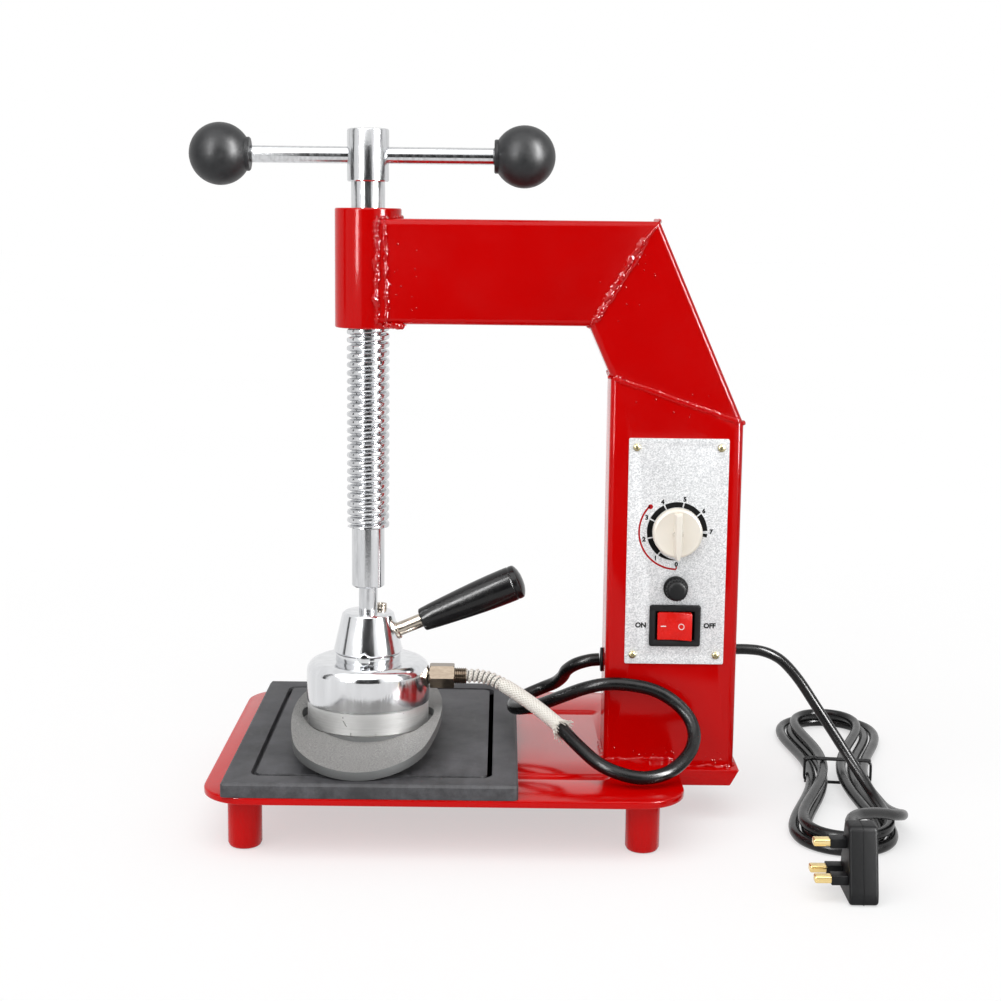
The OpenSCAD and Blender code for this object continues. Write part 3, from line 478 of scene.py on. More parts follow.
def braided_glass():
    # Braided glass-fibre sleeving: off-white yarns that cross on the slant, a yarn step apart
    material, tree, shader, _ = new_finish(
        "braided_glass_fibre", Roughness=0.72, Sheen_Weight=0.3
    )
    around = add(tree, "TexCoord").outputs["UV"]
    yarns = []
    for slant in (YARN_SLANT, -YARN_SLANT):
        laid = add(tree, "Mapping", {}, {"Rotation": (0, 0, slant)}, {"Vector": around})
        yarn = {"Scale": math.tau / (20 * YARN_STEP), "Distortion": 0.4, "Detail": 1.0}
        wave = add(tree, "TexWave", {}, yarn, {"Vector": laid.outputs["Vector"]})
        yarns.append(wave.outputs["Fac"])
    cross = add(tree, "Math", {"operation": "MAXIMUM"}, {}, {0: yarns[0], 1: yarns[1]}).outputs[0]
    tones = {6: linear("#b3ae9f"), 7: linear("#f2efe7")}
    colour = add(tree, "Mix", {"data_type": "RGBA"}, tones, {0: cross})
    tree.links.new(colour.outputs[2], shader.inputs["Base Color"])
    relief = add(tree, "Bump", {}, {"Distance": 0.35 * MM, "Strength": 0.8}, {"Height": cross})
    tree.links.new(relief.outputs["Normal"], shader.inputs["Normal"])
    # Shadowed yarns between the ribs of the slack braid near the gland
    split = add(tree, "SeparateXYZ", {}, {}, {"Vector": around}).outputs
    per_rib = {1: math.tau / RIB_STEP}
    along = add(tree, "Math", {"operation": "MULTIPLY"}, per_rib, {0: split["Y"]})
    per_turn = {1: 1 / SLEEVE_TOP_R}
    turn = {0: split["X"], 2: along.outputs[0]}
    phase = add(tree, "Math", {"operation": "MULTIPLY_ADD"}, per_turn, turn)
    ribs = add(tree, "Math", {"operation": "COSINE"}, {}, {0: phase.outputs[0]})
    dark = add(tree, "MapRange", {}, falling(-0.95, -0.45), {"Value": ribs.outputs[0]})
    near = add(tree, "MapRange", {}, falling(RIBBED_L, RIBBED_L + 2.0), {"Value": split["Y"]})
    both = {0: dark.outputs["Result"], 1: near.outputs["Result"]}
    shadow = add(tree, "Math", {"operation": "MULTIPLY"}, {}, both)
    return overlaid(material, "#3b3a37", shadow.outputs[0])


def clear_glass():
    # Soda glass of the fuse link, with a faint green edge
    return patterned(
        "soda_glass",
        ("#d9e6e2", "#f2f7f5"),
        grain(6, 2),
        polish=(grain(4, 2), 0.03, 0.1),
        Transmission_Weight=0.9,
        IOR=1.52,
    )


def mica_ring():
    # Bonded mica of the heating element: tan flakes with a pearly sheen
    flakes = grain(4, 6, rough=0.7)
    return patterned(
        "bonded_mica", ("#8d7655", "#c9b48d"), flakes, polish=(flakes, 0.3, 0.55), Sheen_Weight=0.2
    )


def matt_film(name, dark, light):
    # Screen ink and loose yarn: matt, slightly uneven in tone, without a highlight
    return patterned(
        name,
        (dark, light),
        grain(1.2, 4),
        polish=(grain(2, 2), 0.5, 0.7),
        Specular_IOR_Level=0.08,
    )


FINISHES = {
    "red_paint": stoved_enamel(),
    "chrome_plate": bright_chrome(),
    "nickel_plate": dull_nickel("barrel_nickel_plate", "#a09688", "#c4bbaf"),
    "cast_aluminium": cast_alloy(),
    "machined_aluminium": turned_alloy(),
    "pad_rubber": pad_rubber(),
    "knob_plastic": phenolic(),
    "black_plastic": black_moulding(),
    "ivory_plastic": ivory_moulding(),
    "red_plastic": red_moulding(),
    "white_plastic": white_moulding(),
    "panel_aluminium": sparkle_panel(),
    "zinc_steel": zinc_steel(),
    "black_steel": black_steel(),
    "bronze": bearing_bronze(),
    "brass": drawn_brass(),
    "cord_pvc": cord_sheath(),
    "glass_fibre": braided_glass(),
    "fuse_glass": clear_glass(),
    "mica": mica_ring(),
}
rolled = rolled_chrome()
grip_gloss = gloss_phenolic()
aged_nickel = dull_nickel("aged_nickel_plate", "#6a5e52", "#94887a")
weld_gloss = pooled_enamel()
black_ink = matt_film("black_screen_ink", "#050505", "#0d0d0d")
red_ink = matt_film("red_screen_ink", "#a00712", "#b80f1a")
loose_yarn = matt_film("loose_glass_yarn", "#d8d4ca", "#f4f1ea")
white_ink = matt_film("white_screen_ink", "#e2e2e0", "#f6f6f4")

for subpart in frame["record"]["subparts"]:
    solid = frame["nodes"][subpart["node"]]
    solid.data.materials.clear()
    solid.data.materials.append(FINISHES[subpart["material_slot"]])


# Modelling tools


def take(piece):
    """Selects one piece alone and makes it active."""
    deselect()
    piece.select_set(True)
    bpy.context.view_layer.objects.active = piece


def named(name):
    """Names the piece that was just added."""
    piece = bpy.context.object
    piece.name = name
    piece.data.name = name
    return piece


def shaped(piece, kind, **settings):
    """Adds a modifier to a piece and applies it."""
    take(piece)
    modifier = piece.modifiers.new(kind.lower(), kind)
    for name, value in settings.items():
        setattr(modifier, name, value)
    bpy.ops.object.modifier_apply(modifier=modifier.name)
    return piece


def eased(piece, width, segments=3, angle=35):
    """Rounds the sharp edges of a piece."""
    return shaped(
        piece,
        "BEVEL",
        width=width,
        segments=segments,
        limit_method="ANGLE",
        angle_limit=math.radians(angle),
        use_clamp_overlap=True,
    )


def drawn_line(name, points):
    """A vertex drawn out from point to point, left in edit mode."""
    deselect()
    bpy.ops.mesh.primitive_plane_add(size=1)
    piece = named(name)
    bpy.ops.object.mode_set(mode="EDIT")
    bpy.ops.mesh.select_all(action="SELECT")
    bpy.ops.mesh.merge(type="CENTER")
    bpy.ops.transform.translate(value=points[0])
    for start, end in zip(points, points[1:]):
        step = Vector(end) - Vector(start)
        bpy.ops.mesh.extrude_vertices_move(TRANSFORM_OT_translate={"value": step})
    return piece


def closed_up():
    """Merges doubles and turns the faces outwards, then leaves edit mode."""
    bpy.ops.mesh.select_all(action="SELECT")
    bpy.ops.mesh.remove_doubles(threshold=0.003)
    bpy.ops.mesh.normals_make_consistent(inside=False)
    bpy.ops.object.mode_set(mode="OBJECT")


def turned(name, profile, steps=72):
    """A profile of radius and height spun round Z."""
    piece = drawn_line(name, [(radius, 0, height) for radius, height in profile])
    bpy.ops.mesh.select_all(action="SELECT")
    bpy.ops.mesh.spin(steps=steps, angle=math.tau, center=(0, 0, 0), axis=(0, 0, 1))
    closed_up()
    return piece


def prism(name, outline, low, high):
    """A flat outline in XY raised from low to high."""
    piece = drawn_line(name, [(x, y, low) for x, y in outline])
    bpy.ops.mesh.select_all(action="SELECT")
    bpy.ops.mesh.edge_face_add()
    bpy.ops.mesh.extrude_region_move(
        TRANSFORM_OT_translate={"value": (0, 0, high - low)}
    )
    closed_up()
    return piece


def block(name, size, centre):
    """A cuboid of that size round a centre."""
    deselect()
    bpy.ops.mesh.primitive_cube_add(size=1, location=centre)
    piece = named(name)
    piece.scale = size
    bpy.ops.object.transform_apply(location=True, rotation=True, scale=True)
    return piece


def joined(pieces, name):
    """Several pieces as one."""
    take(pieces[0])
    for piece in pieces:
        piece.select_set(True)
    bpy.ops.object.join()
    return named(name)


def cut(piece, *tools):
    """Takes the tools' shapes out of a piece."""
    for tool in tools:
        shaped(piece, "BOOLEAN", operation="DIFFERENCE", object=tool, solver="EXACT")
        bpy.data.objects.remove(tool)
    return piece


def copy_of(piece, name):
    """A copy with its own mesh."""
    twin = bpy.data.objects.new(name, piece.data.copy())
    bpy.context.scene.collection.objects.link(twin)
    return twin


def from_cad(node):
    """A merged copy of a CAD node's shape, back in press millimetres."""
    piece = bpy.data.objects.new(node + "_finished", frame["nodes"][node].data.copy())
    bpy.context.scene.collection.objects.link(piece)
    piece.data.transform(TO_ROW.inverted())
    take(piece)
    bpy.ops.object.mode_set(mode="EDIT")
    bpy.ops.mesh.select_all(action="SELECT")
    bpy.ops.mesh.remove_doubles(threshold=0.004)
    bpy.ops.mesh.dissolve_limited(angle_limit=math.radians(0.6))
    bpy.ops.object.mode_set(mode="OBJECT")
    return piece


def set_in(piece, slot, body=None, nodes=(), finish=None, smooth=32):
    """Smooths a piece, sets it into the row frame and gives it its finish, chosen by the slot unless one
    is given, and its body.
    """
    take(piece)
    bpy.ops.object.shade_smooth_by_angle(angle=math.radians(smooth))
    piece.data.transform(TO_ROW)
    piece.data.materials.clear()
    piece.data.materials.append(finish or FINISHES[slot])
    if nodes:
        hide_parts(*nodes)
    if body:
        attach(piece, body)
    return piece


def rounded(corners, radius, steps=5):
    """A closed outline with its corners rounded."""
    points = []
    befores = corners[-1:] + corners[:-1]
    afters = corners[1:] + corners[:1]
    for before, corner, after in zip(befores, corners, afters):
        corner = Vector(corner)
        back = radius * (Vector(before) - corner).normalized()
        on = radius * (Vector(after) - corner).normalized()
        for k in range(steps + 1):
            t = k / steps
            points.append(tuple(corner + (1 - t) ** 2 * back + t**2 * on))
    return points


def on_arc(radius, degrees):
    """A point of a circle; degrees run from the right, anticlockwise."""
    return (radius * math.cos(math.radians(degrees)), radius * math.sin(math.radians(degrees)))


def facing_front(x, y, z):
    """Places a piece modelled along +Z so that it faces the camera's side."""
    return Matrix.Translation((x, y, z)) @ Matrix.Rotation(math.radians(90), 4, "X")


def along_x(x, y, z):
    """Places a piece modelled along +Z so that it points along +X."""
    return Matrix.Translation((x, y, z)) @ Matrix.Rotation(math.radians(90), 4, "Y")


# Cords


def curve_through(points, per_span):
    """A smooth line through points, with that many steps between two of them."""
    knots = [Vector(p) for p in points]
    knots = [2 * knots[0] - knots[1]] + knots + [2 * knots[-1] - knots[-2]]
    line = []
    for a, b, c, d in zip(knots, knots[1:], knots[2:], knots[3:]):
        for i in range(per_span):
            t = i / per_span
            line.append(
                0.5
                * (
                    2 * b
                    + (c - a) * t
                    + (2 * a - 5 * b + 4 * c - d) * t * t
                    + (3 * b - a - 3 * c + d) * t * t * t
                )
            )
    return line + [knots[-2]]


def tube(name, line, radius, sides=16):
    """A closed tube along a line, whose radius follows from the length so far and the turn."""
    corners = []
    lengths = []
    up = Vector((0.1, 0.2, 1))
    run = 0.0
    for i, point in enumerate(line):
        ahead = (line[min(i + 1, len(line) - 1)] - line[max(i - 1, 0)]).normalized()
        up = (up - up.dot(ahead) * ahead).normalized()
        side = ahead.cross(up)
        run += (point - line[i - 1]).length if i else 0
        lengths.append(run)
        for k in range(sides):
            angle = math.tau * k / sides
            size = radius(run, angle)
            corners.append(point + size * (math.cos(angle) * up + math.sin(angle) * side))
    faces = []
    for i in range(len(line) - 1):
        for k in range(sides):
            n = (k + 1) % sides
            faces.append((i * sides + k, (i + 1) * sides + k, (i + 1) * sides + n, i * sides + n))
    last = (len(line) - 1) * sides
    faces.append(tuple(range(sides)))
    faces.append(tuple(reversed(range(last, last + sides))))
    mesh = bpy.data.meshes.new(name)
    mesh.from_pydata(corners, [], faces)
    coords = mesh.uv_layers.new(name="along")
    around = math.tau * radius(0, 0)
    for face in mesh.polygons:
        seam = len(face.vertices) == 4 and {v % sides for v in face.vertices} == {0, sides - 1}
        for corner in face.loop_indices:
            vertex = mesh.loops[corner].vertex_index
            turn = vertex % sides / sides
            turn = 1.0 if seam and turn == 0 else turn
            coords.data[corner].uv = (turn * around, lengths[vertex // sides])
    piece = bpy.data.objects.new(name, mesh)
    bpy.context.scene.collection.objects.link(piece)
    return piece


LEAD_D = 8.0
CORD_D = 6.5
SLEEVE_LAST = 5
LEAD_ROUTE = [
    (GLAND_END, 0, GLAND_Z),
    (GLAND_END + 7, 0, GLAND_Z),
    (77, -2.3, 81),
    (89, -10, 76.5),
    (104, -25, 70),
    (118, -43, 63),
    (129, -59, 55.5),
    (140, -71, 49),
    (152, -77, 45),
    (165, -79, 43),
    (178, -75, 44),
    (188, -67, 47.5),
    (195.5, -56.5, 53),
    (198.5, -46.5, 60),
    (196, -39, 68),
    (188, -33.5, 76),
    (175.5, -30, 82.5),
    (160, -29, 85.5),
    (146, -28, 85.5),
    (133, -24, 81.5),
    (120, -15, 74),
    (107, -3, 65.5),
    (97, 8, 60),
    (91, 19, 57.3),
    (91.5, 30.5, 57.6),
    (98.5, 39, 60),
    (108.5, 41.5, 64),
    (117.5, 36, 69.5),
    (121.8, 26.5, 76),
    (124, 17.5, 82.5),
    (129.5, 11, 88),
    (137.5, 8.2, 91.2),
    (144, 8, 92),
]

HANK_CENTRE = (302, 50)
HANK_TURN = math.radians(-7)
HANK_L = 130
HANK_WAIST = 4.2
HANK_BULGE = 45
HANK_STEP = 7.4
HANK_FIRST = 0.63
HANK_CLIMB = 1.5
HANK_LAST = 3.56
HANK_NEAR = 0.02
HANK_LAYER = 7.2
FLOOR_Z = CORD_D / 2 + 0.2
TIE_LIFT = 1.4


def eased_step(x):
    """Rises smoothly from nought to one as x does."""
    x = min(max(x, 0), 1)
    return x * x * (3 - 2 * x)


def hank_at(u):
    """A point of the hank, u turns from its start, as in the part's source."""
    t = math.radians(90 - 360 * u)
    bulge = HANK_BULGE * (math.cos(t) ** 2 - 2 * math.sin(t) ** 2)
    side = Vector((-HANK_L * math.sin(t), math.cos(t) * (HANK_WAIST + bulge))).normalized()
    out = HANK_STEP * abs(HANK_CLIMB - u) * side
    x = -math.sin(t) * (HANK_WAIST + HANK_BULGE * math.cos(t) ** 2) + out.x
    y = HANK_L * math.cos(t) + out.y
    level = (
        FLOOR_Z
        + HANK_LAYER * (1 - eased_step((u - HANK_CLIMB) / 0.5 + 0.5))
        + TIE_LIFT * math.cos(math.tau * u) ** 4
    )
    return (
        HANK_CENTRE[0] + x * math.cos(HANK_TURN) - y * math.sin(HANK_TURN),
        HANK_CENTRE[1] + x * math.sin(HANK_TURN) + y * math.cos(HANK_TURN),
        level,
    )


HANK_POINTS = 132
MAINS_ROUTE = (
    [
        (227.5, 6, 100),
        (236, 6, 100),
        (244.7, 6.3, 99),
        (252.9, 7.6, 95.8),
        (260.4, 9.7, 90.2),
        (270.2, 11.8, 78.8),
        (280.8, 11, 63.2),
        (291.1, 6.4, 47.8),
        (300.5, -0.7, 33.6),
        (308.1, -9.9, 22),
        (313.2, -21, 14.1),
    ]
    + [
        hank_at(HANK_FIRST - HANK_NEAR + (HANK_LAST - HANK_FIRST + 2 * HANK_NEAR) * i / HANK_POINTS)
        for i in range(HANK_POINTS + 1)
    ]
    + [
        (324.2, -26.3, 6.2),
        (325, -40, 9.6),
        (324.4, -50.5, 12.9),
        (322.1, -59.6, 15.8),
        (318.4, -67.4, 18.4),
        (313.2, -74.4, 20.9),
        (306.2, -81.6, 24),
        (298, -90, 27),
        (290.4, -98, 29.2),
        (286.3, -102.9, 30),
        (282.4, -109.5, 30.8),
        (279.9, -117.1, 31),
        (279, -125, 31),
        (279, -132, 31),
    ]
)

mains_line = curve_through(MAINS_ROUTE, 4)
mains_cord = tube("mains_cord", mains_line, lambda run, turn: CORD_D / 2, 14)
set_in(mains_cord, "cord_pvc", "frame", ("mains_lead", "mains_hank"), smooth=60)

lead_line = curve_through(LEAD_ROUTE[SLEEVE_LAST:], 6)
heater_cord = tube("heater_cord", lead_line, lambda run, turn: LEAD_D / 2, 18)
set_in(heater_cord, "cord_pvc", nodes=("heater_lead",), smooth=60)
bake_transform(heater_cord)


def sleeve_radius(run, turn):
    """Slack braid stands in slanted ribs near the gland, then lies smooth to its end."""
    fade = 1 - eased_step((run - RIBBED_L) / 6)
    wave = math.cos(math.tau * run / RIB_STEP + turn)
    yarn = 0.1 * math.cos(math.tau * run / 2.1 + 4 * turn) * math.cos(4 * turn)
    return SLEEVE_TOP_R - 0.1 + yarn - RIB_DEPTH * fade * (0.5 - 0.5 * wave)


sleeve_line = curve_through(LEAD_ROUTE[: SLEEVE_LAST + 2], 36)[: SLEEVE_LAST * 36 + 1]
fray = random.Random(11)
FIBRES = 90
braided_sleeve = tube("braided_sleeve", sleeve_line, sleeve_radius, 32)
fibres = []
ahead = (sleeve_line[-1] - sleeve_line[-2]).normalized()
across_end = ahead.orthogonal().normalized()
for k in range(FIBRES):
    outward = Matrix.Rotation(math.tau * k / FIBRES, 3, ahead) @ across_end
    root = sleeve_line[-1] + (LEAD_D / 2 + fray.uniform(0.1, 0.5)) * outward - 1.5 * ahead
    reach = fray.uniform(2.5, 8.0)
    lift = fray.uniform(0.0, 0.55)
    sway = fray.uniform(-0.25, 0.25) * ahead.cross(outward)
    strand = []
    for i in range(5):
        far = reach * i / 4
        strand.append(root + far * (ahead + sway) + lift * far * far / reach * outward)
    fibres.append(tube("fibre", strand, lambda run, turn: 0.26, 5))
sleeve_fray = set_in(
    joined(fibres, "sleeve_fray"), "glass_fibre", "carriage", finish=loose_yarn
)
set_in(braided_sleeve, "glass_fibre", nodes=("heater_sleeve",), smooth=60)
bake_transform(braided_sleeve)


# Painted frame

for node, edge in (
    ("base_plate", 1.4),
    ("column_foot_bar", 0.8),
    ("column_tube", 0.5),
    ("brace_tube", 0.5),
    ("arm_tube", 0.5),
    ("nut_tube", 1.0),
    ("foot_front_left", 0.6),
    ("foot_front_right", 0.6),
    ("foot_rear_left", 0.6),
    ("foot_rear_right", 0.6),
):
    set_in(eased(from_cad(node), edge), "red_paint", "frame", (node,))


# Welds: ragged beads along the joints of the frame, under the paint


def bead(start, end, size, seed, ragged=1.0):
    """A weld bead between two points, rippled and uneven, its ends drawn thin."""
    start, end = Vector(start), Vector(end)
    reach = (end - start).length
    count = int(reach / 0.7)
    line = []
    for i in range(count + 1):
        at = i * 0.11
        drift = Vector([noise.noise((at, seed, turn)) for turn in (0.5, 5.5, 9.5)])
        line.append(start.lerp(end, i / count) + 0.8 * ragged * drift)

    def radius(run, turn):
        taper = max(0.2, min(1, run / 2.5, (reach - run) / 2.5))
        wave = math.cos(math.tau * run / 2.9 + 0.7 * math.cos(turn))
        lump = noise.noise((run * 0.17, seed * 3.7, 0.35 * math.cos(turn)))
        burr = noise.noise((run * 0.4, seed * 1.3, 1.8 * math.cos(turn)))
        return size * taper * (1 + ragged * (0.08 * wave + 0.5 * lump + 0.3 * burr))

    return tube("bead", line, radius, 10)


MITRE_LOW = (132.7, ARM_BOTTOM)
MITRE_HIGH = (173.0, ARM_TOP)
BRACE_IN = (COLUMN_LEFT, 271.2)
BRACE_OUT = (COLUMN_RIGHT, 244.0)
BAR_TOP = 32.0
FOOT_SPLIT = 190.0
NUT_R = 20.0
NUT_ARC = 28

beads = []
seams = []
for face, seed in ((TUBE_FRONT + 0.3, 3), (TUBE_BACK - 0.3, 4)):
    (ax, az), (bx, bz) = MITRE_LOW, MITRE_HIGH
    beads.append(bead((ax + 0.5, face, az + 0.8), (bx - 8, face, bz - 8), 1.9, seed, 1.3))
    beads.append(bead((bx - 10, face, bz - 13), (bx - 1.5, face, bz - 2.4), 1.0, seed + 10, 0.3))
    beads.append(bead((ax + 3.4, face, az + 1.5), (bx - 6.4, face, bz - 11), 1.3, seed + 20))
    (ax, az), (bx, bz) = BRACE_IN, BRACE_OUT
    inside = face + math.copysign(1.2, -face)
    seams.append(bead((ax + 0.8, inside, az - 0.3), (bx - 1, inside, bz + 0.5), 2.4, seed + 40, 0.4))
    beads.append(bead((ax + 1, face, az + 0.8), (ax + 11, face, az - 1.6), 1.6, seed + 50, 1.4))
    beads.append(bead((6.8, face, ARM_BOTTOM - 0.5), (6.4, face, ARM_TOP + 1.5), 2.0, seed + 60, 1.2))
    beads.append(bead((12.2, face, ARM_BOTTOM + 1), (11.4, face, ARM_TOP - 1), 1.6, seed + 80, 1.2))
    beads.append(bead((10, face + 1, ARM_BOTTOM - 1), (24, face + 1, ARM_BOTTOM - 0.3), 2.2, seed + 90))
for (x, z), seed in ((MITRE_LOW, 7), (MITRE_HIGH, 8), (BRACE_IN, 9), (BRACE_OUT, 10)):
    beads.append(bead((x, TUBE_FRONT + 1.5, z), (x, TUBE_BACK - 1.5, z), 1.2, seed))
for z, seed in ((ARM_TOP + 0.2, 12), (ARM_BOTTOM - 0.2, 13)):
    for turn in range(-70, 70, NUT_ARC):
        ends = [(*on_arc(NUT_R, degrees), z) for degrees in (turn, turn + NUT_ARC)]
        beads.append(bead(*ends, 1.8, seed + turn))
for side, split, top, size, seed in (
    (COLUMN_LEFT, FOOT_SPLIT - 1, PLATE_TOP, 1.5, 15),
    (COLUMN_RIGHT, FOOT_SPLIT + 3, BAR_TOP, 1.4, 18),
):
    low, high = sorted((side + math.copysign(1, split - side), split))
    beads.append(bead((low, TUBE_FRONT, top), (high, TUBE_FRONT, top), size, seed))
    beads.append(bead((low, TUBE_BACK, top), (high, TUBE_BACK, top), size, seed + 1))
    beads.append(bead((side, TUBE_FRONT + 1, top), (side, TUBE_BACK - 1, top), size, seed + 2))

# Spatter: drops of weld metal on the front faces near the welds, as counts and ranges of x and z
SPATTER = (
    (28, (150, 222), (33, 44)),
    (14, (13, 30), (303, 352)),
    (12, (138, 172), (300, 350)),
    (10, (150, 215), (238, 262)),
)
drops = random.Random(5)
for count, (x0, x1), (z0, z1) in SPATTER:
    for _ in range(count):
        deselect()
        bpy.ops.mesh.primitive_ico_sphere_add(
            subdivisions=2,
            radius=drops.uniform(0.3, 0.75),
            location=(drops.uniform(x0, x1), TUBE_FRONT, drops.uniform(z0, z1)),
        )
        beads.append(named("drop"))
        bpy.ops.object.transform_apply(location=True, rotation=True, scale=True)
set_in(joined(seams, "weld_seams"), "red_paint", "frame", smooth=50)
set_in(joined(beads, "weld_beads"), "red_paint", "frame", finish=weld_gloss, smooth=50)


# Press screw: trapezoidal thread cut as one helix on a turned bar

PITCH = 5.0
SCREW_CORE_R = 10.2
SCREW_R = 13.0
THREAD_TURNS = 41
THREAD_STEPS = 48
THREAD_LOW = 176.0
THREAD_HIGH = 366.0
BOSS_LOW = 384.5
BOSS_HIGH = 415.5

thread = drawn_line(
    "thread",
    [
        (SCREW_CORE_R, 0, THREAD_LOW - 6.0),
        (SCREW_CORE_R, 0, THREAD_LOW - 5.5),
        (12.3, 0, THREAD_LOW - 4.8),
        (12.8, 0, THREAD_LOW - 4.3),
        (SCREW_R, 0, THREAD_LOW - 3.25),
        (12.8, 0, THREAD_LOW - 2.2),
        (12.3, 0, THREAD_LOW - 1.7),
        (SCREW_CORE_R, 0, THREAD_LOW - 1.0),
    ],
)
bpy.ops.object.mode_set(mode="OBJECT")
shaped(
    thread,
    "SCREW",
    axis="Z",
    angle=math.tau,
    screw_offset=PITCH,
    iterations=THREAD_TURNS,
    steps=THREAD_STEPS,
    render_steps=THREAD_STEPS,
    use_merge_vertices=True,
    merge_threshold=0.002,
)
bpy.ops.object.mode_set(mode="EDIT")
bpy.ops.mesh.select_all(action="SELECT")
bpy.ops.mesh.bisect(
    plane_co=(0, 0, THREAD_LOW + 0.4), plane_no=(0, 0, 1), use_fill=True, clear_inner=True
)
bpy.ops.mesh.select_all(action="SELECT")
bpy.ops.mesh.bisect(
    plane_co=(0, 0, THREAD_HIGH), plane_no=(0, 0, 1), use_fill=True, clear_outer=True
)
closed_up()

screw_bar = turned(
    "screw_bar",
    [
        (0, 108.6),
        (5.1, 108.6),
        (5.75, 109.3),
        (5.75, 139),
        (9.2, 139),
        (10, 139.8),
        (10, THREAD_LOW - 0.4),
        (9.7, THREAD_LOW),
        (9.7, THREAD_LOW + 3),
        (SCREW_CORE_R, THREAD_LOW + 3.5),
        (SCREW_CORE_R, BOSS_LOW),
        (11.9, BOSS_LOW),
        (12.5, BOSS_LOW + 0.7),
        (12.5, BOSS_HIGH - 1.2),
        (12.2, BOSS_HIGH - 0.4),
        (11.4, BOSS_HIGH),
        (0, BOSS_HIGH),
    ],
)
BAR_D = 10.0
HOLE_R = BAR_D / 2 + 0.05
bar_hole = turned("bar_hole", [(0, -30), (HOLE_R, -30), (HOLE_R, 30), (0, 30)], 48)
bar_hole.data.transform(along_x(0, 0, BAR_Z))
cut(screw_bar, bar_hole)
press_screw = joined([screw_bar, thread], "press_screw_cut")
set_in(press_screw, "chrome_plate", "screw", ("press_screw",), rolled)


# Tommy bar and its two moulded balls

set_in(eased(from_cad("handle_bar"), 0.4), "chrome_plate", "tommy_bar", ("handle_bar",), rolled)
BALL_R = 18.5
BALL_LEFT = -88
BALL_RIGHT = 93
COLLAR_R = 10.0
COLLAR_END = 17.9


def ball_profile():
    """Half outline of a ball with its collar, from the far pole to the bore."""
    profile = [(0, -BALL_R)]
    join = math.acos(COLLAR_R / BALL_R)
    steps = 26
    for i in range(1, steps + 1):
        angle = -math.pi / 2 + (math.pi / 2 + join) * i / steps
        profile.append((BALL_R * math.cos(angle), BALL_R * math.sin(angle)))
    edge = BAR_D / 2 + 0.02
    return profile + [
        (COLLAR_R, COLLAR_END - 0.6),
        (COLLAR_R - 0.6, COLLAR_END),
        (edge, COLLAR_END),
        (edge, 2),
        (0, 2),
    ]


for node, x, inward in (("ball_knob_left", BALL_LEFT, 1), ("ball_knob_right", BALL_RIGHT, -1)):
    ball = turned(node + "_moulded", ball_profile(), 64)
    if inward > 0:
        # Torn flash stands round the collar of the left ball
        for corner in ball.data.vertices:
            reach = math.hypot(corner.co.x, corner.co.y)
            if reach > BAR_D and corner.co.z > BALL_R * 0.8:
                turn = math.atan2(corner.co.y, corner.co.x)
                ragged = noise.noise((3 * math.cos(turn), 3 * math.sin(turn), corner.co.z * 0.4))
                corner.co.x *= 1 + 0.09 * ragged
                corner.co.y *= 1 + 0.09 * ragged
                corner.co.z += 0.7 * ragged
    ball.data.transform(along_x(x, 0, BAR_Z))
    if inward < 0:
        ball.data.transform(Matrix.Translation((2 * x, 0, 0)) @ Matrix.Scale(-1, 4, (1, 0, 0)))
        ball.data.flip_normals()
    set_in(ball, "knob_plastic", "tommy_bar", (node,))


# Head: cone, its small screws, grip, cup, block and curved plate

for node, slot, edge in (
    ("head_cone", "chrome_plate", 0.35),
    ("cone_clamp_screw", "chrome_plate", 0.5),
    ("pin_set_screw", "nickel_plate", 0.4),
    ("heater_cup", "chrome_plate", 0.5),
    ("arc_plate", "cast_aluminium", 0.5),
):
    set_in(eased(from_cad(node), edge), slot, "head", (node,))

# Painted shade: a thin near-black ring laid in the gap between the cone and its collar, where the gap is
# in shadow
SEAM_Z = 97.4
SEAM_TOP = SEAM_Z + 0.6
SEAM_IN = 18.6
SEAM_OUT = 20.05
seam = turned(
    "cone_gap_shade",
    [(SEAM_IN, SEAM_Z), (SEAM_OUT, SEAM_Z), (SEAM_OUT, SEAM_TOP), (SEAM_IN, SEAM_TOP), (SEAM_IN, SEAM_Z)],
    96,
)
set_in(seam, "black_steel", "head")

BLOCK_R = 37.5
ready_block = turned(
    "heater_block_turned",
    [
        (0, 53.3),
        (36.9, 53.3),
        (BLOCK_R, 53.9),
        (BLOCK_R, 67.0),
        (36.4, 67.9),
        (35.0, 67.9),
        (35.0, 73.8),
        (0, 73.8),
    ],
    120,
)
# Nicks in the block's side: turn, height, slant and length
NICKS = ((252, 61, 35, 4.2), (258, 54, 0, 3), (281, 54, -10, 2.4))
for turn, z, slant, length in NICKS:
    nick = block("nick", (2.4, 0.6, length), (BLOCK_R, 0, 0))
    nick.data.transform(
        Matrix.Translation((0, 0, z))
        @ Matrix.Rotation(math.radians(turn), 4, "Z")
        @ Matrix.Rotation(math.radians(slant), 4, "X")
    )
    cut(ready_block, nick)
set_in(ready_block, "machined_aluminium", "head", ("heater_block",))

GRIP_TILT = 23
GRIP_ROOT = (18.5, 0, 111.5)
at_grip = Matrix.Translation(GRIP_ROOT) @ Matrix.Rotation(math.radians(90 - GRIP_TILT), 4, "Y")
grip_stem = turned(
    "grip_stem",
    [
        (0, -9),
        (4.25, -9),
        (4.25, -1.5),
        (5.4, -1.5),
        (5.7, -1.1),
        (5.7, 0.2),
        (5.2, 0.7),
        (4.25, 0.8),
        (4.25, 35.5),
        (3.8, 36),
        (0, 36),
    ],
)
grip_stem.data.transform(at_grip)
set_in(grip_stem, "nickel_plate", "head", ("grip_stud",))

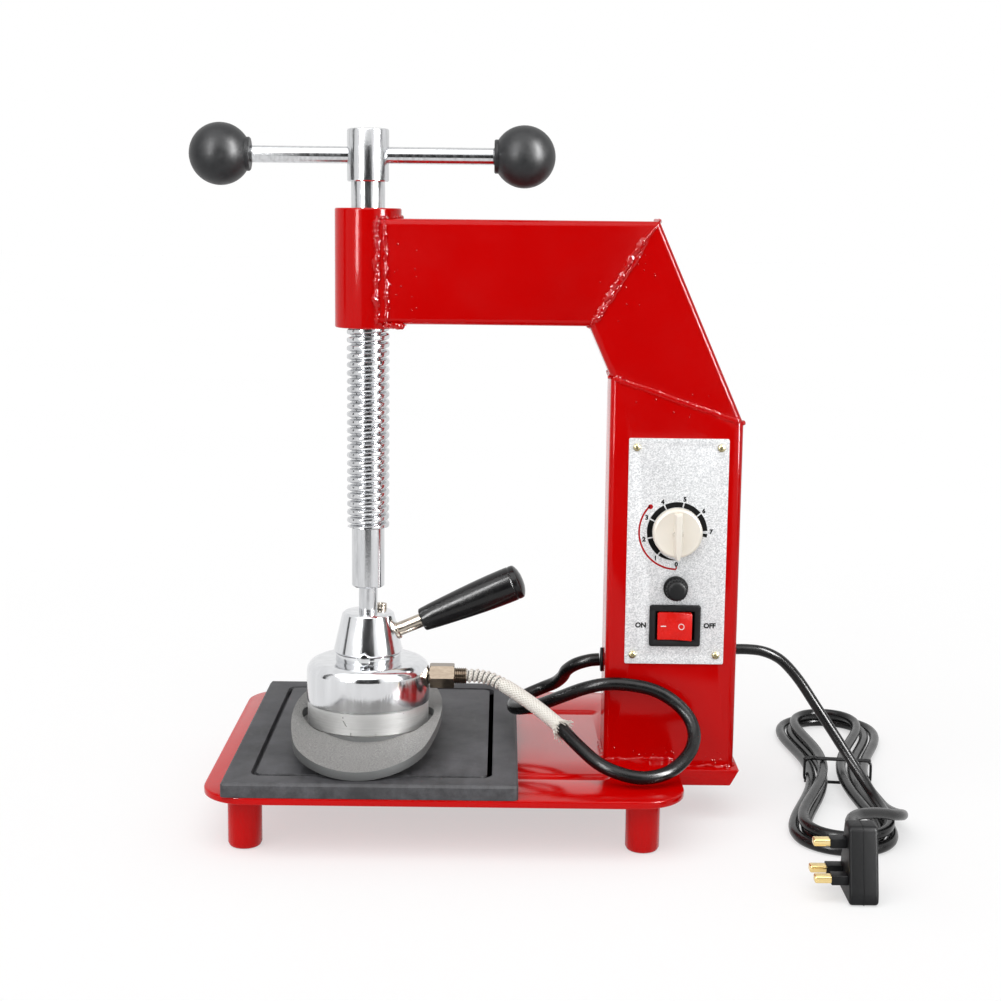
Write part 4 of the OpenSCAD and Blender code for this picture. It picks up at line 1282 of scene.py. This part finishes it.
GRIP_START = 16.0
grip = turned(
    "grip_moulded",
    [
        (4.3, GRIP_START + 21.5),
        (4.3, GRIP_START),
        (6.3, GRIP_START),
        (7.0, GRIP_START + 0.5),
        (7.25, GRIP_START + 1.4),
        (7.95, GRIP_START + 8),
        (8.75, GRIP_START + 18),
        (9.5, GRIP_START + 28),
        (10.15, GRIP_START + 38),
        (10.6, GRIP_START + 48),
        (10.75, GRIP_START + 56),
        (10.72, GRIP_START + 60.5),
        (10.45, GRIP_START + 60.9),
        (10.45, GRIP_START + 61.3),
        (10.7, GRIP_START + 61.7),
        (10.6, GRIP_START + 63.6),
        (10.2, GRIP_START + 64.6),
        (9.2, GRIP_START + 65.3),
        (7, GRIP_START + 66.3),
        (4, GRIP_START + 67.1),
        (0, GRIP_START + 67.4),
        (0, GRIP_START + 21.5),
    ],
)
grip.data.transform(at_grip)
set_in(grip, "knob_plastic", "head", ("head_grip",), grip_gloss)

# Cable gland: chamfered hexagon and a threaded nipple
GLAND_START = 38.0
HEX_R = 14 / math.sqrt(3)
hexagon = prism(
    "hexagon",
    [on_arc(HEX_R, 60 * k + 30) for k in range(6)],
    0.4,
    15.6,
)
hex_chamfer = turned(
    "hex_chamfer", [(0, 0), (7.0, 0), (8.6, 1.6), (8.6, 14.4), (7.2, 15.8), (0, 15.8)], 48
)
shaped(hexagon, "BOOLEAN", operation="INTERSECT", object=hex_chamfer, solver="EXACT")
bpy.data.objects.remove(hex_chamfer)
ridges = [(0, -3.8), (4.9, -3.8), (4.9, 15.4)]
for k in range(6):
    z = 15.7 + 1.2 * k
    ridges += [(4.55, z), (5.0, z + 0.45), (5.0, z + 0.75), (4.55, z + 1.15)]
nipple = turned("nipple", ridges + [(4.5, 23.1), (0, 23.1)], 48)
gland = joined([hexagon, nipple], "lead_gland_turned")
gland.data.transform(along_x(GLAND_START, 0, GLAND_Z))
set_in(gland, "nickel_plate", "head", ("lead_gland",), aged_nickel)

# Pad, with a deep narrow groove round its face
PAD_LEFT, PAD_RIGHT = -77.0, 93.0
PAD_FRONT, PAD_REAR = -104.0, 126.0
PAD_BORDER = 15.0
GROOVE_W = 3.0
GROOVE_R = 9.0
GROOVE_DEPTH = 4.5


def pad_frame(inset, corner):
    """A rounded frame line on the pad's face, that far in from its edge."""
    x0, x1 = PAD_LEFT + inset, PAD_RIGHT - inset
    y0, y1 = PAD_FRONT + inset, PAD_REAR - inset
    return rounded([(x0, y0), (x1, y0), (x1, y1), (x0, y1)], corner)


groove = cut(
    prism("groove", pad_frame(PAD_BORDER + 0.1, GROOVE_R), PAD_TOP - GROOVE_DEPTH, PAD_TOP + 1),
    prism("island", pad_frame(PAD_BORDER + GROOVE_W - 0.1, GROOVE_R - GROOVE_W), PAD_TOP - 9, PAD_TOP + 2),
)
pad = cut(from_cad("rubber_pad"), groove)
set_in(eased(pad, 0.4), "pad_rubber", "frame", ("rubber_pad",))
for node in ("lead_grommet", "mains_grommet"):
    set_in(eased(from_cad(node), 0.4), "black_plastic", "frame", (node,))


# Control panel: label plate, screws, dial print, knob, fuse cap and switch

set_in(eased(from_cad("panel_plate"), 0.3), "panel_aluminium", "frame", ("panel_plate",))

SCREW_X = 25.3
SCREW_Z = 63.5
PANEL_MID = 166.0
pan_head = turned(
    "pan_head",
    [(0, -6), (1.25, -6), (1.25, 0), (2.25, 0), (2.25, 0.5)]
    + [(2.05, 1.0), (1.5, 1.4), (0.7, 1.58), (0, 1.6)],
    32,
)
for size in ((2.4, 0.5, 1.2), (0.5, 2.4, 1.2)):
    cut(pan_head, block("slot", size, (0, 0, 1.5)))
heads = []
for k, (side, level) in enumerate(((-1, -1), (1, -1), (-1, 1), (1, 1))):
    head = copy_of(pan_head, "head")
    head.data.transform(Matrix.Rotation(math.radians(23 + 41 * k), 4, "Z"))
    head.data.transform(
        facing_front(PANEL_X + side * SCREW_X, PANEL_FACE, PANEL_MID + level * SCREW_Z)
    )
    heads.append(head)
bpy.data.objects.remove(pan_head)
set_in(joined(heads, "panel_screws_driven"), "zinc_steel", "frame", ("panel_screws",))

INK = 0.06


def band(name, start, end, inner, outer, steps=10):
    """A piece of ring whose inner and outer radius may change from start to end."""
    low, high = [], []
    for i in range(steps + 1):
        share = i / steps
        degrees = start + (end - start) * share
        low.append(on_arc(inner[0] + (inner[1] - inner[0]) * share, degrees))
        high.append(on_arc(outer[0] + (outer[1] - outer[0]) * share, degrees))
    return prism(name, high + low[::-1], -0.02, INK)


def lettered(text, height, x, y, bold=0.2):
    """Flat figures or letters centred on a point, as thick as ink."""
    deselect()
    bpy.ops.object.text_add()
    label = bpy.context.object
    label.data.body = text
    label.data.size = height / 0.7
    label.data.align_x = "CENTER"
    label.data.extrude = INK / 2
    label.data.resolution_u = 4
    label.data.offset = bold
    bpy.ops.object.convert(target="MESH")
    label = named("label")
    label.data.transform(Matrix.Translation((x, y - height / 2, INK / 2)))
    return label


DIAL_START = 270.0
DIAL_STEP = 38.4
DIAL_GAP = 1.4
RING_IN = 15.0
RING_OUT = 18.2
ring = []
for k in range(7):
    start = DIAL_START - DIAL_STEP * k
    inner = (RING_IN, RING_IN) if k else (17.2, 15.9)
    outer = (RING_OUT, RING_OUT) if k else (17.4, RING_OUT)
    ring.append(band("band", start - DIAL_GAP, start - DIAL_STEP + DIAL_GAP, inner, outer))
ring.append(band("band", -3, -10, (RING_IN, RING_IN), (RING_OUT, RING_OUT), 3))
for k in range(8):
    where = on_arc(20.4 if k else 19.8, DIAL_START - DIAL_STEP * k)
    ring.append(lettered(str(k), 2.6, *where))
dial_print = joined(ring, "dial_print")
dial_print.data.transform(facing_front(PANEL_X, PANEL_FACE, DIAL_Z))
set_in(dial_print, "black_plastic", "frame", finish=black_ink)

ARC_R = 22.9
ARC_IN = ARC_R - 0.55
ARC_OUT = ARC_R + 0.55
ARC_END = 137
arc = [
    band("arc", DIAL_START, ARC_END, (ARC_IN, ARC_IN), (ARC_OUT, ARC_OUT), 36),
    prism("tick", [(-0.4, -ARC_R), (0.4, -ARC_R), (0.4, 1.8 - ARC_R), (-0.4, 1.8 - ARC_R)], -0.02, INK),
]
dot_x, dot_y = on_arc(ARC_R - 0.6, ARC_END)
arc.append(
    prism(
        "dot",
        [(dot_x + 1.5 * x, dot_y + 1.5 * y) for x, y in [on_arc(1, 20 * k) for k in range(18)]],
        -0.02,
        INK,
    )
)
red_scale = joined(arc, "red_scale")
red_scale.data.transform(facing_front(PANEL_X, PANEL_FACE, DIAL_Z))
set_in(red_scale, "red_plastic", "frame", finish=red_ink)

switch_words = joined(
    [lettered("ON", 2.9, -20.6, 0), lettered("OFF", 2.9, 21.2, 0)], "switch_words"
)
switch_words.data.transform(facing_front(PANEL_X, PANEL_FACE, SWITCH_Z))
set_in(switch_words, "black_plastic", "frame", finish=black_ink)

KNOB_R = 15.0
knob_disc = turned(
    "knob_disc",
    [
        (0, 1.5),
        (13.2, 1.5),
        (13.6, 0),
        (KNOB_R - 0.3, 0),
        (KNOB_R, 0.4),
        (KNOB_R - 0.15, 4.4),
        (KNOB_R - 0.6, 5.4),
        (KNOB_R - 1.5, 5.9),
        (KNOB_R - 2.2, 5.8),
        (KNOB_R - 3.0, 5.5),
        (3.5, 5.5),
        (3.2, 8.0),
        (0, 8.0),
    ],
    96,
)
knob_bar = prism(
    "knob_bar",
    [(-2.9, 12.6), (2.9, 12.6), (3.3, 0), (3.0, -11.5), (1.6, -15.6), (0.9, -16.3), (0, -16.5)]
    + [(-0.9, -16.3), (-1.6, -15.6), (-3.0, -11.5), (-3.3, 0)],
    2,
    13,
)
take(knob_bar)
bpy.ops.object.mode_set(mode="EDIT")
bpy.ops.mesh.select_all(action="DESELECT")
bpy.ops.object.mode_set(mode="OBJECT")
for face in knob_bar.data.polygons:
    face.select = face.normal.z > 0.9
bpy.ops.object.mode_set(mode="EDIT")
bpy.ops.transform.resize(value=(0.55, 0.93, 1), center_override=(0, 0, 13))
bpy.ops.object.mode_set(mode="OBJECT")
eased(knob_bar, 0.7, 4, 30)
knob = joined([knob_disc, knob_bar], "timer_knob_moulded")
knob.data.transform(facing_front(PANEL_X, PANEL_FACE - 1.0, DIAL_Z))
set_in(knob, "ivory_plastic", "timer", ("timer_knob",))

FLANGE_T = 1.6
set_in(eased(from_cad("fuse_holder"), 0.4), "black_plastic", "frame", ("fuse_holder",))
FLUTES = 20
flutes = [
    on_arc(6.5 if k % 4 in (0, 1) else 6.15, 360 * k / (4 * FLUTES)) for k in range(4 * FLUTES)
]
cap_skirt = prism("cap_skirt", flutes, 0, 6.6)
cap_front = turned(
    "cap_front",
    [
        (2.62, -13),
        (3.3, -13),
        (3.3, -0.05),
        (6.1, -0.05),
        (6.1, 7.2),
        (5.9, 8.0),
        (5.2, 8.7),
        (4, 9.0),
        (0, 9.0),
        (0, -9),
        (2.62, -9),
    ],
    48,
)
fuse_top = joined([cap_front, cap_skirt], "fuse_cap_moulded")
fuse_top.data.transform(facing_front(PANEL_X, PANEL_FACE - FLANGE_T - 0.3, FUSE_Z))
set_in(fuse_top, "black_plastic", "fuse_cap", ("fuse_cap",))

set_in(eased(from_cad("switch_body"), 0.6), "black_plastic", "frame", ("switch_body",))
ROCKER_W = 21.0
ROCKER_H = 17.0
ROCKER_TILT = -8
ROCKER_RISE = 1.2
ROCKER_DISH = 2.0


def rocker_face(x, proud=0.0):
    """The hollow face of the rocker across its width."""
    return -ROCKER_RISE - ROCKER_DISH * (2 * x / ROCKER_W) ** 2 - proud


def across(low, high, steps):
    """Even places from low to high."""
    return [low + (high - low) * i / steps for i in range(steps + 1)]


at_rocker = Matrix.Translation((PANEL_X, PANEL_FACE - 2.0, SWITCH_Z)) @ Matrix.Rotation(
    math.radians(ROCKER_TILT), 4, "Z"
)
rocker = prism(
    "rocker_moulded",
    [(x, rocker_face(x)) for x in across(-ROCKER_W / 2, ROCKER_W / 2, 20)]
    + [(ROCKER_W / 2 - 1, 3), (0, 4.5), (1 - ROCKER_W / 2, 3)],
    -ROCKER_H / 2,
    ROCKER_H / 2,
)
eased(rocker, 0.7, 3, 45)
rocker.data.transform(at_rocker)
set_in(rocker, "red_plastic", "rocker", ("switch_rocker",))
dash = across(-8.4, -5.2, 6)
mark_on = prism(
    "mark_on",
    [(x, rocker_face(x, 0.06)) for x in dash] + [(x, rocker_face(x, -0.1)) for x in dash[::-1]],
    -0.3,
    0.3,
)
mark_off = turned(
    "mark_off", [(1.45, -0.1), (1.9, -0.1), (1.9, 0.06), (1.45, 0.06), (1.45, -0.1)], 32
)
OFF_X = 4.0
mark_off.data.transform(
    Matrix.Translation((OFF_X, rocker_face(OFF_X), 0))
    @ Matrix.Rotation(math.atan(-8 * ROCKER_DISH * OFF_X / ROCKER_W**2), 4, "Z")
    @ Matrix.Rotation(math.radians(90), 4, "X")
)
marks = joined([mark_on, mark_off], "rocker_marks")
marks.data.transform(at_rocker)
set_in(marks, "white_plastic", "rocker", finish=white_ink)


# Twist tie, and the plug at the end of the mains lead

TIE_LEFT = -HANK_WAIST - 1.5 * HANK_STEP - CORD_D / 2 - 0.9
TIE_RIGHT = HANK_WAIST + 2 * HANK_STEP + CORD_D / 2 + 0.9
TIE_LOW = FLOOR_Z + TIE_LIFT - CORD_D / 2 - 0.9
TIE_HIGH = TIE_LOW + HANK_LAYER + CORD_D + 1.8
TIE_WIRE = 0.75
at_hank = Matrix.Translation((*HANK_CENTRE, 0)) @ Matrix.Rotation(HANK_TURN, 4, "Z")
loop = []
TIE_TURNS = 3
tie_corners = (
    (TIE_RIGHT, TIE_LOW, -90),
    (TIE_RIGHT, TIE_HIGH, 0),
    (TIE_LEFT, TIE_HIGH, 90),
    (TIE_LEFT, TIE_LOW, 180),
)
CORNER_R = 3.5
for turn in range(TIE_TURNS):
    for k, (x, z, first) in enumerate(tie_corners):
        inset_x = x - math.copysign(CORNER_R, x)
        inset_z = z + (CORNER_R if z == TIE_LOW else -CORNER_R)
        for i in range(4):
            degrees = math.radians(first + 30 * i)
            step = turn + k / 4 + i / 16
            loop.append(
                (
                    inset_x + CORNER_R * math.cos(degrees),
                    1.7 * (step - TIE_TURNS / 2) + 0.3 * math.sin(5 * step),
                    inset_z + CORNER_R * math.sin(degrees),
                )
            )
wires = [tube("wire", curve_through(loop, 5), lambda run, turn: TIE_WIRE, 8)]
TAIL_FOOT = Vector((TIE_LEFT + 8, 0, TIE_HIGH))
for phase in (0, math.pi):
    twist = []
    for i in range(40):
        rise = i * 0.42
        angle = phase + i * 0.55
        lean = Vector((-0.55 * rise, -0.5 * rise, 1.6 * (1 - math.exp(-rise / 3))))
        twist.append(
            TAIL_FOOT + lean + 0.85 * TIE_WIRE * Vector((0, math.cos(angle), math.sin(angle)))
        )
    wires.append(tube("wire", twist, lambda run, turn: 0.85 * TIE_WIRE, 8))
twist_tie = joined(wires, "twist_tie")
twist_tie.data.transform(at_hank)
set_in(twist_tie, "black_plastic", "frame", ("hank_tie",), smooth=60)

PLUG_AT = (279.0, -150.0)
PLUG_H = 42.0
PLUG_T = 16.0
PLUG_FOOT = 17.0
PLUG_TOP = 7.0
PLUG_SHOULDER = 6.0
PLUG_CORNER = 2.8
PLUG_ENTRY = 31.0
RELIEF_L = 18.0


def plug_outline(inset):
    """Face of the plug, wide at its foot and narrow at its top, downwards and across."""
    foot = PLUG_FOOT - inset
    top = PLUG_TOP - inset
    high = inset - PLUG_H
    right = [(-inset, foot), (-PLUG_SHOULDER, foot), (high, top)]
    left = [(high, -top), (-PLUG_SHOULDER, -foot)]
    return rounded([(-inset, -foot)] + right + left, PLUG_CORNER)


plug_halves = eased(prism("plug_halves", plug_outline(0.4), -PLUG_T / 2, PLUG_T / 2), 1.8, 4)
parting_line = prism("parting_line", plug_outline(0.2), -0.2, 0.2)
plug = joined([plug_halves, parting_line], "plug_body_moulded")
plug.data.transform(Matrix.Rotation(math.radians(90), 4, "Y"))
relief_rings = [(0, 0), (5.2, 0), (5.2, 7.2)]
for k in range(4):
    along = 7.6 + 2.4 * k
    ring_r = 5.0 - 0.18 * k
    relief_rings += [(ring_r, along), (ring_r, along + 1.4)]
    relief_rings += [(ring_r - 0.7, along + 1.6), (ring_r - 0.7, along + 2.2)]
relief_rings += [(4.0, 17.4), (3.5, RELIEF_L), (0, RELIEF_L)]
strain_relief = turned("strain_relief", relief_rings, 40)
strain_relief.data.transform(
    Matrix.Translation((0, 0, PLUG_ENTRY)) @ Matrix.Rotation(math.radians(-90), 4, "X")
)
for piece in (plug, strain_relief):
    piece.data.transform(Matrix.Translation((*PLUG_AT, 0)))
plug = joined([plug, strain_relief], "plug_body_moulded")
set_in(plug, "black_plastic", "frame", ("plug_body",))
pins = set_in(eased(from_cad("plug_pins"), 1.1, 4), "brass", "frame", ("plug_pins",))
pin_sleeves = set_in(
    eased(from_cad("plug_pin_sleeves"), 0.25), "black_plastic", "frame", ("plug_pin_sleeves",)
)


# Stage: white paper floor, white room, soft overhead light, and dark and lit cards for reflections


def seen_directly(tree):
    """One where the camera, a mirror or glass looks, and nought for light that falls on things."""
    path = add(tree, "LightPath").outputs
    share = path["Is Camera Ray"]
    for ray in ("Is Glossy Ray", "Is Transmission Ray"):
        share = add(tree, "Math", {"operation": "MAXIMUM"}, {}, {0: share, 1: path[ray]}).outputs[0]
    return share


deselect()
bpy.ops.mesh.primitive_plane_add(size=30)
floor = named("studio_floor")
paper = patterned(
    "white_paper_floor",
    ("#f6f6f6", "#f9f9f9"),
    grain(400, 2),
    Roughness=0.9,
    Specular_IOR_Level=0.0,
)
tree = paper.node_tree
shader = tree.nodes["Principled BSDF"]
glow = add(tree, "Emission", {}, {"Color": (1, 1, 1, 1), "Strength": 1.0})
share = add(
    tree, "Math", {"operation": "MULTIPLY"}, {1: FLOOR_GLOW}, {0: seen_directly(tree)}
)
lit_paper = add(
    tree,
    "MixShader",
    {},
    {},
    {0: share.outputs[0], 1: shader.outputs[0], 2: glow.outputs[0]},
)
tree.links.new(lit_paper.outputs[0], tree.nodes["Material Output"].inputs["Surface"])
floor.data.materials.append(paper)

world = bpy.data.worlds.new("studio_white")
bpy.context.scene.world = world
world.use_nodes = True
tree = world.node_tree
sky = tree.nodes["Background"]
sky.inputs["Color"].default_value = (1, 1, 1, 1)
level = add(
    tree, "MapRange", {}, {"To Min": ROOM_LEVEL, "To Max": 1.0}, {"Value": seen_directly(tree)}
)
tree.links.new(level.outputs["Result"], sky.inputs["Strength"])

deselect()
bpy.ops.object.light_add(type="SUN", rotation=(math.radians(30), math.radians(-14), 0))
overhead = named("overhead_light")
overhead.data.energy = OVERHEAD
overhead.data.angle = math.radians(70)


def card(name, finish, turn, wide, low, high, away):
    """A card that only shiny surfaces reflect, standing round the screw at a turn from the camera."""
    deselect()
    bpy.ops.mesh.primitive_plane_add(size=1)
    made = named(name)
    angle = math.radians(turn)
    place = Matrix.Translation(
        (away * math.sin(angle), -away * math.cos(angle), (low + high) / 2)
    )
    facing = Matrix.Rotation(angle, 4, "Z") @ Matrix.Rotation(math.radians(90), 4, "X")
    size = Matrix.Diagonal((2 * away * math.tan(math.radians(wide / 2)), high - low, 1, 1))
    made.data.transform(TO_ROW @ place @ facing @ size)
    made.data.materials.append(finish)
    for ray in ("camera", "diffuse", "shadow", "transmission", "volume_scatter"):
        setattr(made, "visible_" + ray, False)


def lit_card(name, strength):
    """A white card lit from behind."""
    return patterned(
        name,
        ("#f4f4f4", "#fafafa"),
        grain(300, 2),
        Roughness=0.9,
        Emission_Color=(1, 1, 1, 1),
        Emission_Strength=strength,
    )


card_black = patterned("black_card", ("#151515", "#1d1d1d"), grain(60, 2), Roughness=0.9)
card("card_front", card_black, 3, 44, -40, 640, 800)
card("card_right", card_black, 80, 18, -40, 1800, 1500)
card("card_left", card_black, -84, 10, -40, 1500, 1500)
card("strip_right", lit_card("strip_right_glow", STRIP_RIGHT), 56, 13, 260, 1900, 1450)
card("strip_left", lit_card("strip_left_glow", STRIP_LEFT), -34, 9, 260, 1900, 1450)

bpy.context.scene.view_settings.view_transform = "Standard"
